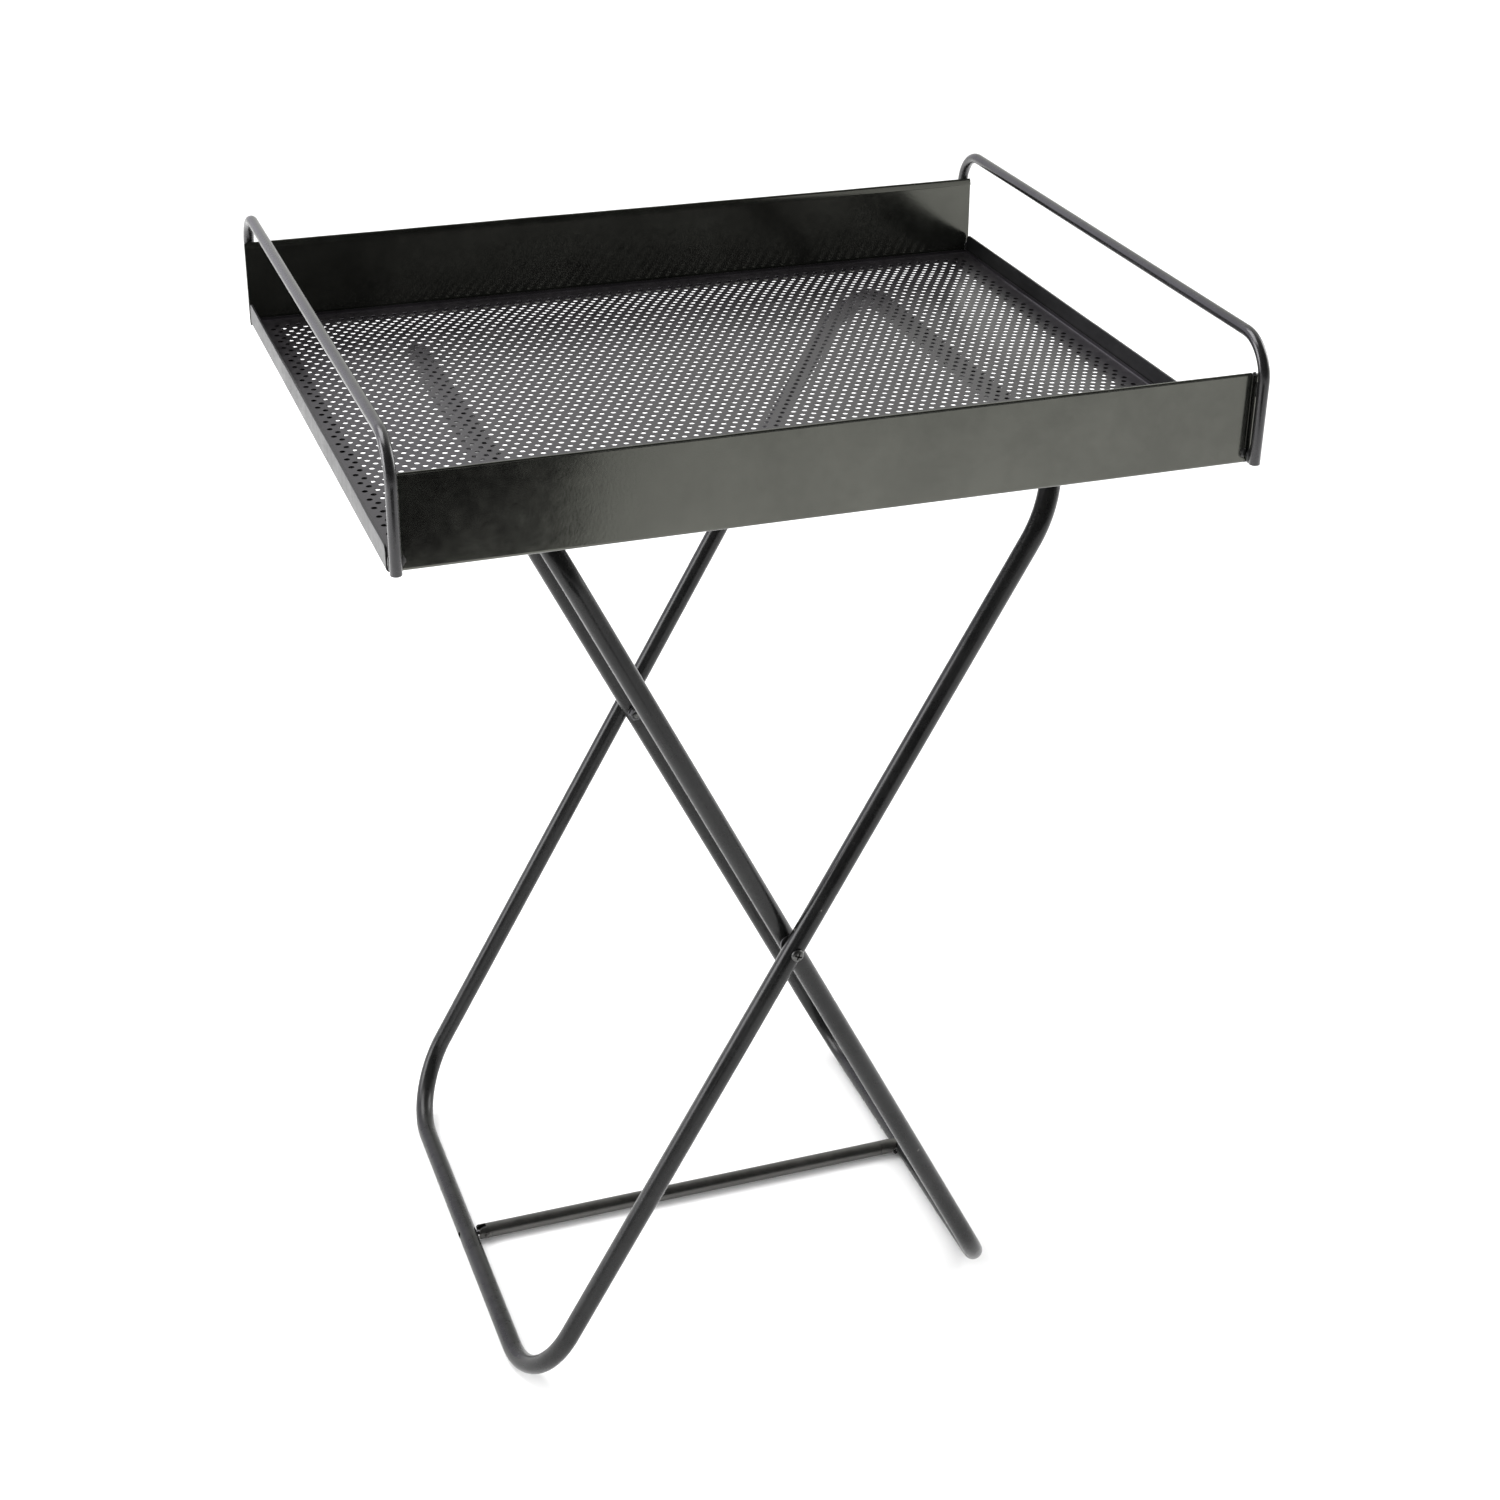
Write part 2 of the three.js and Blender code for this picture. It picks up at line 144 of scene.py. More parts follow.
def cut(ob, tools, operation="DIFFERENCE"):
    """Boolean with each tool in turn. The tools are removed."""
    for tool in tools:
        modifier = ob.modifiers.new("cut", "BOOLEAN")
        modifier.operation = operation
        modifier.solver = "EXACT"
        modifier.object = tool
        apply_modifiers(ob)
        bpy.data.objects.remove(tool)


def finish(ob, material, body, node, smooth, bevel=0.0, bevel_segments=2):
    """Bevels, cleans and registers a piece that was cut or joined."""
    if bevel:
        modifier = ob.modifiers.new("bevel", "BEVEL")
        modifier.width = bevel * MM
        modifier.segments = bevel_segments
        modifier.limit_method = "ANGLE"
        modifier.angle_limit = math.radians(40)
        apply_modifiers(ob)
    bm = bmesh.new()
    bm.from_mesh(ob.data)
    bmesh.ops.remove_doubles(bm, verts=bm.verts, dist=2e-7)
    bmesh.ops.dissolve_degenerate(bm, edges=bm.edges, dist=1e-7)
    bmesh.ops.recalc_face_normals(bm, faces=bm.faces)
    bm.to_mesh(ob.data)
    bm.free()
    shade(ob, smooth)
    register(ob, material, body, node)


def join(ob, others):
    bm = bmesh.new()
    for part in [ob] + others:
        bm.from_mesh(part.data)
    bm.to_mesh(ob.data)
    bm.free()
    for other in others:
        bpy.data.objects.remove(other)


# ------------------------------------------------------------------ round and boxy shapes
# Each returns (vertices, faces).
def turns(count):
    return [2 * math.pi * i / count for i in range(count)]


def axes(direction):
    """The unit direction and two unit vectors across it."""
    along = direction.normalized()
    across = along.orthogonal().normalized()
    return along, across, along.cross(across)


def cylinder(start, end, radius, count=32):
    start, end = Vector(start), Vector(end)
    _, across, other = axes(end - start)
    verts = [p + (across * math.cos(w) + other * math.sin(w)) * radius
             for p in (start, end) for w in turns(count)]
    faces = []
    for i in range(count):
        j = (i + 1) % count
        faces.append((i, j, count + j, count + i))
    faces.append(tuple(range(count - 1, -1, -1)))
    faces.append(tuple(range(count, 2 * count)))
    return verts, faces


def block(lo, hi, rotation=None, about=None):
    verts = [Vector((x, y, z)) for x in (lo[0], hi[0]) for y in (lo[1], hi[1])
             for z in (lo[2], hi[2])]
    if rotation is not None:
        centre = Vector(about)
        verts = [rotation @ (v - centre) + centre for v in verts]
    faces = [(0, 1, 3, 2), (4, 6, 7, 5), (0, 4, 5, 1), (2, 3, 7, 6), (0, 2, 6, 4), (1, 5, 7, 3)]
    return verts, faces


def prism(outline, y_start, y_end):
    """An (x, z) outline extruded along Y."""
    count = len(outline)
    verts = [(x, y, z) for y in (y_start, y_end) for x, z in outline]
    faces = [(i, (i + 1) % count, count + (i + 1) % count, count + i) for i in range(count)]
    return verts, faces + [tuple(range(count)), tuple(range(count, 2 * count))]


def lathe(profile, count, origin, direction):
    """A profile of (radius, height) turned about an axis.

    It runs from axis to axis, or is closed on itself when it starts off the axis.
    """
    along, across, other = axes(Vector(direction))
    origin = Vector(origin)
    verts, faces, rings = [], [], []
    for radius, height in profile:
        if radius < 1e-6:
            rings.append([len(verts)])
            verts.append(origin + along * height)
            continue
        rings.append(list(range(len(verts), len(verts) + count)))
        for w in turns(count):
            spoke = (across * math.cos(w) + other * math.sin(w)) * radius
            verts.append(origin + along * height + spoke)
    pairs = list(zip(rings, rings[1:]))
    if profile[0][0] > 1e-6:
        pairs.append((rings[-1], rings[0]))
    for lower, upper in pairs:
        for i in range(count):
            j = (i + 1) % count
            if len(lower) == 1:
                faces.append((lower[0], upper[i], upper[j]))
            elif len(upper) == 1:
                faces.append((lower[i], lower[j], upper[0]))
            else:
                faces.append((lower[i], lower[j], upper[j], upper[i]))
    return verts, faces


# ------------------------------------------------------------------ bent tube and rod
# A station is (point, tangent, shape). The shape is None, the radius of the ring there, or
# (normal, amount) inside a bend, where the section flattens along the normal.
def rounded(points, radius, steps):
    """Stations along a polyline with rounded corners."""
    points = [Vector(p) for p in points]
    stations = [(points[0].copy(), (points[1] - points[0]).normalized(), None)]
    for before, corner, after in zip(points, points[1:], points[2:]):
        d0, d1 = (corner - before).normalized(), (after - corner).normalized()
        angle = d0.angle(d1)
        start = corner - d0 * (radius * math.tan(angle / 2))
        inward = (d1 - d0 * d1.dot(d0)).normalized()
        centre = start + inward * radius
        for k in range(steps + 1):
            t = angle * k / steps
            normal = inward * math.cos(t) - d0 * math.sin(t)
            tangent = d0 * math.cos(t) + inward * math.sin(t)
            amount = math.sin(math.pi * k / steps)
            stations.append((centre - normal * radius, tangent, (normal, amount)))
    stations.append((points[-1].copy(), (points[-1] - points[-2]).normalized(), None))
    return stations


def domed(stations, radius, dome):
    """Replaces both end stations by three that round off the ends of a rod."""
    p, t, _ = stations[0]
    q, u, _ = stations[-1]
    tip, shoulder = radius - dome, radius - dome * 0.35
    return [(p, t, tip), (p + t * dome * 0.35, t, shoulder), (p + t * dome, t, None),
            *stations[1:-1],
            (q - u * dome, u, None), (q - u * dome * 0.35, u, shoulder), (q, u, tip)]


def sweep(stations, radii, count, oval=0.0):
    """A rod (one radius) or a tube (outer and inner radius) along the stations."""
    previous = stations[0][1]
    across = previous.orthogonal().normalized()
    verts, faces, rings = [], [], []
    for point, tangent, shape in stations:
        if previous.angle(tangent) > 1e-6:
            across = previous.rotation_difference(tangent) @ across
        across = (across - tangent * across.dot(tangent)).normalized()
        other = tangent.cross(across)
        previous = tangent
        for radius in radii:
            if isinstance(shape, float):
                radius = shape
            rings.append(list(range(len(verts), len(verts) + count)))
            for w in turns(count):
                spoke = across * math.cos(w) * radius + other * math.sin(w) * radius
                if isinstance(shape, tuple):
                    normal, amount = shape
                    side = tangent.cross(normal)
                    spoke = (normal * spoke.dot(normal) * (1 - oval * amount)
                             + side * spoke.dot(side) * (1 + oval * 0.5 * amount))
                verts.append(point + spoke)
    skins = len(radii)
    for skin in range(skins):
        run = rings[skin::skins]
        for lower, upper in zip(run, run[1:]):
            for i in range(count):
                j = (i + 1) % count
                quad = (lower[i], lower[j], upper[j], upper[i])
                faces.append(quad if skin == 0 else quad[::-1])
    if skins == 2:
        for first, second in ((rings[0], rings[1]), (rings[-1], rings[-2])):
            for i in range(count):
                j = (i + 1) % count
                faces.append((first[j], first[i], second[i], second[j]))
    else:
        faces.append(tuple(rings[0][::-1]))
        faces.append(tuple(rings[-1]))
    return verts, faces


# ------------------------------------------------------------------ bent sheet
def sheet_line(points, radii, steps):
    """Centreline of a sheet section with rounded corners: a list of (point, left normal)."""
    def unit(v):
        return v / np.linalg.norm(v)

    def left(d):
        return np.array([-d[1], d[0]])

    points = [np.array(p, float) for p in points]
    line = [(points[0], left(unit(points[1] - points[0])))]
    for before, corner, after, radius in zip(points, points[1:], points[2:], radii):
        d0, d1 = unit(corner - before), unit(after - corner)
        angle = math.atan2(d0[0] * d1[1] - d0[1] * d1[0], float(d0 @ d1))
        turn = 1 if angle > 0 else -1
        start = corner - d0 * (radius * abs(math.tan(angle / 2)))
        centre = start + left(d0) * radius * turn
        for k in range(steps + 1):
            t = angle * k / steps
            d = np.array([d0[0] * math.cos(t) - d0[1] * math.sin(t),
                          d0[0] * math.sin(t) + d0[1] * math.cos(t)])
            line.append((centre - left(d) * radius * turn, left(d)))
    line.append((points[-1], left(unit(points[-1] - points[-2]))))
    return line


def sheet_faces(line, thick):
    """Both faces of the sheet as point lists, with the edges slightly rounded."""
    half, edge = thick / 2, min(0.18, thick * 0.25)
    (p0, n0), (p1, n1) = line[0], line[-1]
    along0, along1 = np.array([n0[1], -n0[0]]), np.array([n1[1], -n1[0]])
    result = []
    for sign in (1, -1):
        face = [p + n * sign * half for p, n in line]
        face[0] = face[0] + along0 * edge
        face[-1] = face[-1] - along1 * edge
        inset = sign * (half - edge)
        result.append([p0 + n0 * inset] + face + [p1 + n1 * inset])
    return result


def extrude_sheet(line, thick, lengths, place, warp):
    """Bent sheet along its length.

    place(u, v, length) puts a section point in space, warp(length, point) moves it a little.
    """
    left_face, right_face = sheet_faces(line, thick)
    loop = left_face + right_face[::-1]
    size = len(loop)
    verts = [Vector(place(q[0], q[1], along)) + Vector(warp(along, q))
             for along in lengths for q in loop]
    faces = []
    for s in range(len(lengths) - 1):
        for i in range(size):
            j = (i + 1) % size
            faces.append((s * size + i, s * size + j, (s + 1) * size + j, (s + 1) * size + i))
    for s, flip in ((0, True), (len(lengths) - 1, False)):
        for i in range(len(left_face) - 1):
            first, last = s * size + i, s * size + size - 1 - i
            quad = (first, first + 1, last - 1, last)
            faces.append(quad if not flip == (s == 0) else quad[::-1])
    return verts, faces


def wave(x, seed, size):
    """Slow unevenness along a sheet."""
    return size * (math.sin(x * 0.021 + seed) + 0.6 * math.sin(x * 0.047 + seed * 2.3)
                   + 0.4 * math.sin(x * 0.11 + seed * 0.7)) / 2.0


# ------------------------------------------------------------------ node graphs
class Graph:
    """Small node-tree builder. Any input may be a value or another node's output."""

    def __init__(self, tree):
        self.tree = tree
        tree.nodes.clear()

    def add(self, kind, inputs=None, **settings):
        node = self.tree.nodes.new(kind)
        for key, value in settings.items():
            setattr(node, key, value)
        for key, value in (inputs or {}).items():
            if isinstance(value, bpy.types.NodeSocket):
                self.tree.links.new(value, node.inputs[key])
            else:
                node.inputs[key].default_value = value
        return node

    def noise(self, coords, scale, detail, roughness, distortion=0.0):
        return self.add("ShaderNodeTexNoise", {
            "Vector": coords, "Scale": scale, "Detail": detail, "Roughness": roughness,
            "Distortion": distortion}).outputs["Fac"]

    def ramp(self, value, start, stop, low=0.0, high=1.0):
        """Maps start..stop to low..high, clamped."""
        return self.add("ShaderNodeMapRange", {
            "Value": value, "From Min": start, "From Max": stop, "To Min": low,
            "To Max": high}, clamp=True).outputs["Result"]

    def math(self, operation, a, b):
        return self.add("ShaderNodeMath", {0: a, 1: b}, operation=operation).outputs[0]

    def times(self, a, b):
        return self.math("MULTIPLY", a, b)

    def weighed(self, *terms):
        """The sum of two (value, weight) terms."""
        return self.math("ADD", *[self.times(value, weight) for value, weight in terms])

    def dot(self, a, b):
        node = self.add("ShaderNodeVectorMath", {0: a, 1: b}, operation="DOT_PRODUCT")
        return node.outputs["Value"]

    def mix(self, factor, a, b):
        """Mixes two colours."""
        a, b = [(*c, 1.0) if isinstance(c, tuple) else c for c in (a, b)]
        return self.add("ShaderNodeMix", {0: factor, 6: a, 7: b}, data_type="RGBA").outputs[2]

    def mix_shader(self, factor, a, b):
        return self.add("ShaderNodeMixShader", {0: factor, 1: a, 2: b}).outputs[0]

    def bump(self, height, strength, distance, normal=None):
        inputs = {"Strength": strength, "Distance": distance, "Height": height}
        if normal is not None:
            inputs["Normal"] = normal
        return self.add("ShaderNodeBump", inputs).outputs["Normal"]

    def surface(self, kind, shader, output):
        self.add(kind, {"Surface": shader}) if output is None else self.tree.links.new(
            shader, output)


def new_material(name):
    material = bpy.data.materials.new(name)
    material.use_nodes = True
    return material, Graph(material.node_tree)


def show(graph, shader, kind="ShaderNodeOutputMaterial"):
    """Ends the graph in an output node."""
    graph.add(kind, {"Surface": shader})


# ------------------------------------------------------------------ materials
def enamel(name, base, cloudy, rough, specular, coat, peel, mottle, wear, bare, dust, chips,
           coat_rough=0.12, edge=0.00045, ior=1.5, tint=(1, 1, 1)):
    """Black enamel on steel.

    base, cloudy, mottle: the two tones and how far they mix. rough: roughness range.
    peel: orange-peel bump. wear, edge, bare: rubbed edges, their width in metres and colour.
    chips, dust: strength of the small chips and of the dust on faces that look up.
    """
    material, g = new_material(name)
    coords = g.add("ShaderNodeTexCoord").outputs["Object"]
    normal = g.add("ShaderNodeNewGeometry").outputs["Normal"]
    cloud = g.noise(coords, scale=26.0, detail=5.0, roughness=0.6, distortion=0.4)
    fine = g.noise(coords, scale=210.0, detail=4.0, roughness=0.6)
    grain = g.noise(coords, scale=2600.0, detail=2.0, roughness=0.5)
    skin = g.noise(coords, scale=620.0, detail=2.0, roughness=0.45)
    tone = g.weighed((g.ramp(cloud, start=0.35, stop=0.68), 0.65),
                     (g.ramp(fine, start=0.3, stop=0.7), 0.35))
    colour = g.mix(g.times(tone, mottle * 2.0), base, cloudy)
    # dust on faces that look up
    up = g.add("ShaderNodeSeparateXYZ", {0: normal}).outputs["Z"]
    patchy_dust = g.times(g.ramp(fine, start=0.35, stop=0.75), dust)
    dusty = g.times(g.ramp(up, start=0.55, stop=1.0), patchy_dust)
    colour = g.mix(dusty, colour, (0.20, 0.19, 0.18))
    # rubbed edges, found where a bevelled normal leaves the true one
    bevel = g.add("ShaderNodeBevel", {"Radius": edge}, samples=4).outputs[0]
    rub_patches = g.noise(coords, scale=85.0, detail=4.0, roughness=0.7)
    rubbed = g.times(g.ramp(g.dot(bevel, normal), start=0.985, stop=0.86),
                     g.ramp(rub_patches, start=0.44, stop=0.66))
    rubbed = g.times(rubbed, wear)
    # small chips, gathered in a few areas
    spots = g.noise(coords, scale=150.0, detail=3.0, roughness=0.5)
    areas = g.noise(coords, scale=14.0, detail=1.0, roughness=0.5)
    chipped = g.times(g.ramp(spots, start=0.735, stop=0.75),
                      g.ramp(areas, start=0.58, stop=0.66))
    chipped = g.times(chipped, chips)
    bared = g.math("MINIMUM", g.math("ADD", rubbed, chipped), 1.0)
    colour = g.mix(bared, colour, bare)
    # gloss follows the clouds; dust dulls it
    roughness = g.math(
        "ADD", g.ramp(g.weighed((cloud, 0.6), (fine, 0.4)), start=0.35, stop=0.65,
                      low=rough[0], high=rough[1]), g.times(dusty, 0.5))
    gloss = g.ramp(g.weighed((cloud, 0.7), (fine, 0.3)), start=0.38, stop=0.62,
                   low=specular * 0.84, high=specular)
    # orange peel, sunk where the paint is gone, over a slow swell
    height = g.math("SUBTRACT", g.weighed((skin, 0.7), (grain, 0.12)), g.times(bared, 0.5))
    swell = g.noise(coords, scale=30.0, detail=2.0, roughness=0.5)
    bumped = g.bump(height, strength=peel, distance=0.00012)
    bumped = g.bump(swell, strength=peel * 0.4, distance=0.0006, normal=bumped)
    show(g, g.add("ShaderNodeBsdfPrincipled", {
        "Base Color": colour,
        "Metallic": g.times(bared, 0.25),
        "Roughness": roughness,
        "Specular IOR Level": gloss,
        "IOR": ior,
        "Specular Tint": (*tint, 1.0),
        "Coat Weight": coat,
        "Coat Roughness": coat_rough,
        "Normal": bumped}).outputs[0])
    return material


def plated(name, base, cloudy, rough, scale=300.0, recess_shade_strength=0.4):
    """Steel hardware with cloudy plating, and painted shade in the recesses: darker where ambient
    occlusion is low.
    """
    material, g = new_material(name)
    coords = g.add("ShaderNodeTexCoord").outputs["Object"]
    cloud = g.noise(coords, scale=scale, detail=4.0, roughness=0.6)
    fine = g.noise(coords, scale=scale * 6, detail=2.0, roughness=0.6)
    openness = g.add("ShaderNodeAmbientOcclusion", {"Distance": 0.0016}, samples=4).outputs["AO"]
    colour = g.mix(g.ramp(cloud, start=0.35, stop=0.7), base, cloudy)
    # painted shade: the base colour turns near black where ambient occlusion finds a recess
    painted_recess_shade = g.ramp(openness, start=0.75, stop=0.35, low=0.0, high=recess_shade_strength)
    height = g.math("ADD", cloud, g.times(fine, 0.4))
    show(g, g.add("ShaderNodeBsdfPrincipled", {
        "Base Color": g.mix(painted_recess_shade, colour, (0.02, 0.018, 0.016)),
        "Metallic": 0.95,
        "Roughness": g.ramp(cloud, start=0.3, stop=0.7, low=rough[0], high=rough[1]),
        "Normal": g.bump(height, strength=0.25, distance=0.0001)}).outputs[0])
    return material


PANEL = enamel(
    "enamel_panel", base=(0.0030, 0.0033, 0.0029), cloudy=(0.0075, 0.0080, 0.0070),
    rough=(0.12, 0.19), specular=1.0, coat=0.12, coat_rough=0.14, peel=0.16, mottle=0.5,
    wear=0.30, bare=(0.09, 0.088, 0.085), dust=0.03, chips=0.0, ior=1.54, tint=(1.0, 1.01, 0.88))
LIP = enamel(
    "enamel_lip", base=(0.0040, 0.0042, 0.0042), cloudy=(0.0090, 0.0092, 0.0090),
    rough=(0.30, 0.42), specular=0.42, coat=0.04, peel=0.30, mottle=0.5,
    wear=0.35, bare=(0.10, 0.098, 0.098), dust=0.03, chips=0.0, tint=(1.0, 0.99, 1.03))
MESH = enamel(
    "enamel_mesh", base=(0.0060, 0.0055, 0.0062), cloudy=(0.0130, 0.0118, 0.0132),
    rough=(0.27, 0.38), specular=0.46, coat=0.04, peel=0.22, mottle=0.4, wear=0.10,
    bare=(0.10, 0.095, 0.10), dust=0.05, edge=0.0002, chips=0.0, tint=(1.0, 0.94, 1.06))
TUBE = enamel(
    "enamel_tube", base=(0.0045, 0.0047, 0.0047), cloudy=(0.0095, 0.0097, 0.0095),
    rough=(0.22, 0.33), specular=0.31, coat=0.08, coat_rough=0.2, peel=0.18, mottle=0.4,
    wear=0.30, bare=(0.24, 0.225, 0.21), dust=0.03, edge=0.0005, chips=0.9,
    tint=(1.0, 0.995, 1.0))
HANDLE = enamel(
    "enamel_handle", base=(0.0050, 0.0050, 0.0052), cloudy=(0.0100, 0.0100, 0.0104),
    rough=(0.21, 0.31), specular=0.58, coat=0.18, coat_rough=0.15, peel=0.18, mottle=0.4,
    wear=0.30, bare=(0.24, 0.225, 0.21), dust=0.04, edge=0.0005, chips=0.7,
    tint=(1.0, 0.985, 1.02))
STAY = enamel(
    "enamel_stay", base=(0.0060, 0.0060, 0.0055), cloudy=(0.0120, 0.0120, 0.0110),
    rough=(0.27, 0.37), specular=0.85, coat=0.05, coat_rough=0.2, peel=0.16, mottle=0.4,
    wear=0.30, bare=(0.24, 0.225, 0.21), dust=0.05, edge=0.0005, chips=0.7, ior=1.56,
    tint=(1.0, 0.98, 0.93))
WELD = enamel(
    "enamel_weld", base=(0.0050, 0.0052, 0.0050), cloudy=(0.0110, 0.0110, 0.0105),
    rough=(0.26, 0.45), specular=0.5, coat=0.15, peel=0.7, mottle=0.6,
    wear=0.4, bare=(0.14, 0.13, 0.125), dust=0.03, chips=0.5)
ZINC = plated("zinc_steel", base=(0.13, 0.13, 0.135), cloudy=(0.07, 0.07, 0.07),
              rough=(0.34, 0.5), recess_shade_strength=0.8)
DARK = plated("dark_steel", base=(0.10, 0.10, 0.105), cloudy=(0.055, 0.052, 0.05),
              rough=(0.3, 0.5))
SCREW = plated("screw_steel", base=(0.13, 0.13, 0.125), cloudy=(0.05, 0.05, 0.05),
               rough=(0.24, 0.40), scale=500.0, recess_shade_strength=0.95)

# ------------------------------------------------------------------ perforated floor
PITCH_X, PITCH_Y = 6.33, 5.5            # hole pitch along a row, and between rows
HOLES_X, ROWS = 70, 62
HOLE_R, HOLE_JITTER = 1.60, 0.04
FLOOR_HALF_THICK = 0.45 / 2
FIELD_X = -HOLES_X * PITCH_X / 2        # left end of the perforated field
FIELD_Y = 2.5 - ROWS * PITCH_Y / 2      # front edge of the field, which is centred on y = 2.5
FLOOR_Z = BASE_Z + 1.5 + 0.45
FLOOR_HALF_X, FLOOR_HALF_Y = 226.5, 181.4
EDGE_BEND, EDGE_RISE = 1.3, 0.9         # the rim turns up in this radius and rises this much
CROWN, CROWN_FLAT_X, CROWN_FLAT_Y = 4.9, 158.0, 112.0   # rise, and half size of its flat top
FLOOR_HI = box_mm("tray_floor")[1]
# Faces of one cell. Points 0-5 are its corners: right front, right back, back, left back,
# left front, front. Points 6-13 go around the hole from +X towards +Y.
CELL_FACES = (
    (0, 1, 6), (1, 7, 6), (0, 6, 13), (1, 2, 8), (1, 8, 7), (2, 3, 8), (3, 9, 8),
    (3, 4, 10), (3, 10, 9), (4, 11, 10), (4, 5, 12), (4, 12, 11), (5, 0, 12), (0, 13, 12))


def crown(x, y):
    """Height of the pressed-up middle of the floor."""
    def rise(v, half, flat):
        t = min(1.0, max(0.0, (half - abs(v)) / (half - flat)))
        return t * t * (3 - 2 * t)
    return CROWN * rise(x, FLOOR_HI[0], CROWN_FLAT_X) * rise(y, FLOOR_HI[1], CROWN_FLAT_Y)


def floor_rim():
    """Stations (outward distance, (outward, upward) normal, height) of the turned-up rim."""
    rim = [(0.0, (0, 1), 0.0)]
    for k in range(1, 4):
        a = math.radians(-90 + 30 * k)
        rim.append((EDGE_BEND * math.cos(a), (-math.cos(a), -math.sin(a)),
                    EDGE_BEND + EDGE_BEND * math.sin(a)))
    rim.append((EDGE_BEND, (-1, 0), EDGE_BEND + EDGE_RISE))
    return rim


def build_floor():
    rng = random.Random(7)
    half = FLOOR_HALF_THICK
    verts, faces, grid = [], [], {}

    def add_pair(x, y, z):
        """Adds a top and a bottom vertex and returns their indices."""
        verts.append((x, y, z + half))
        verts.append((x, y, z - half))
        return len(verts) - 2, len(verts) - 1

    def grid_pair(ix, iy):
        """The pair at a half pitch along X and a row boundary along Y."""
        if (ix, iy) not in grid:
            x, y = FIELD_X + ix * PITCH_X / 2, FIELD_Y + iy * PITCH_Y
            grid[ix, iy] = add_pair(x, y, FLOOR_Z + crown(x, y))
        return grid[ix, iy]

    hole_angles = [math.radians(45 * k) for k in range(8)]
    for j in range(ROWS):
        odd = j % 2                     # every other row is shifted by half a pitch
        for i in range(HOLES_X - odd):
            left = 2 * i + odd
            x = FIELD_X + (left + 1) * PITCH_X / 2
            y = FIELD_Y + (j + 0.5) * PITCH_Y
            z = FLOOR_Z + crown(x, y)
            corners = [grid_pair(left + 2, j), grid_pair(left + 2, j + 1),
                       grid_pair(left + 1, j + 1), grid_pair(left, j + 1),
                       grid_pair(left, j), grid_pair(left + 1, j)]
            shift_x = rng.uniform(-HOLE_JITTER, HOLE_JITTER)
            shift_y = rng.uniform(-HOLE_JITTER, HOLE_JITTER)
            hole = [add_pair(x + shift_x + HOLE_R * math.cos(w),
                             y + shift_y + HOLE_R * math.sin(w), z) for w in hole_angles]
            points = corners + hole
            for a, b, c in CELL_FACES:
                faces.append((points[a][0], points[b][0], points[c][0]))
            for a, b, c in CELL_FACES:
                faces.append((points[c][1], points[b][1], points[a][1]))
            for here, after in zip(hole, hole[1:] + hole[:1]):
                faces.append((here[0], after[0], after[1], here[1]))
        if odd:                         # plain half cells at both ends of the shifted rows
            for left in (0, 2 * HOLES_X - 1):
                corners = [grid_pair(left, j), grid_pair(left + 1, j),
                           grid_pair(left + 1, j + 1), grid_pair(left, j + 1)]
                faces.append(tuple(c[0] for c in corners))
                faces.append(tuple(c[1] for c in corners[::-1]))

    # the plain border and the rim, as rings around the field
    last = 2 * HOLES_X
    edge = ([(ix, 0) for ix in range(last)] + [(last, iy) for iy in range(ROWS)]
            + [(ix, ROWS) for ix in range(last, 0, -1)] + [(0, iy) for iy in range(ROWS, 0, -1)])
    size = len(edge)
    inner = [grid_pair(*e) for e in edge]
    for out, (normal_out, normal_up), rise in floor_rim():
        x_reach = FLOOR_HALF_X - half - EDGE_BEND + out
        y_front = -FLOOR_HALF_Y + half + EDGE_BEND - out
        y_back = FLOOR_HALF_Y - half - EDGE_BEND + out
        outer = []
        for ix, iy in edge:
            side_x = -1 if ix == 0 else 1 if ix == last else 0
            side_y = -1 if iy == 0 else 1 if iy == ROWS else 0
            x = (ix - HOLES_X) / HOLES_X * x_reach
            y = y_front + (y_back - y_front) * iy / ROWS
            z = FLOOR_Z + crown(x, y) + rise
            outer.append((len(verts), len(verts) + 1))
            for q in (1, -1):
                verts.append((x + q * side_x * normal_out * half,
                              y + q * side_y * normal_out * half, z + q * normal_up * half))
        for i in range(size):
            j = (i + 1) % size
            faces.append((inner[j][0], inner[i][0], outer[i][0], outer[j][0]))
            faces.append((inner[i][1], inner[j][1], outer[j][1], outer[i][1]))
        inner = outer
    for i in range(size):
        j = (i + 1) % size
        faces.append((inner[j][0], inner[i][0], inner[i][1], inner[j][1]))
    piece("floor_sheet", (verts, faces), MESH, "tray", "tray_floor", smooth=30)


build_floor()

# ------------------------------------------------------------------ long side panels
PANEL_FACE_Y = 183.3        # outer face of the front panel, inner face of the back panel
FOOT_DEPTH = 12.6           # flange under the floor
FOOT_END_X = 211.3          # the flange stops short of the end angles
FOOT_STUB = 1.4             # what is left of it beyond there
HEM_THICK = 0.8
END_RETURN = 3.3            # reach of the front panel's turned ends


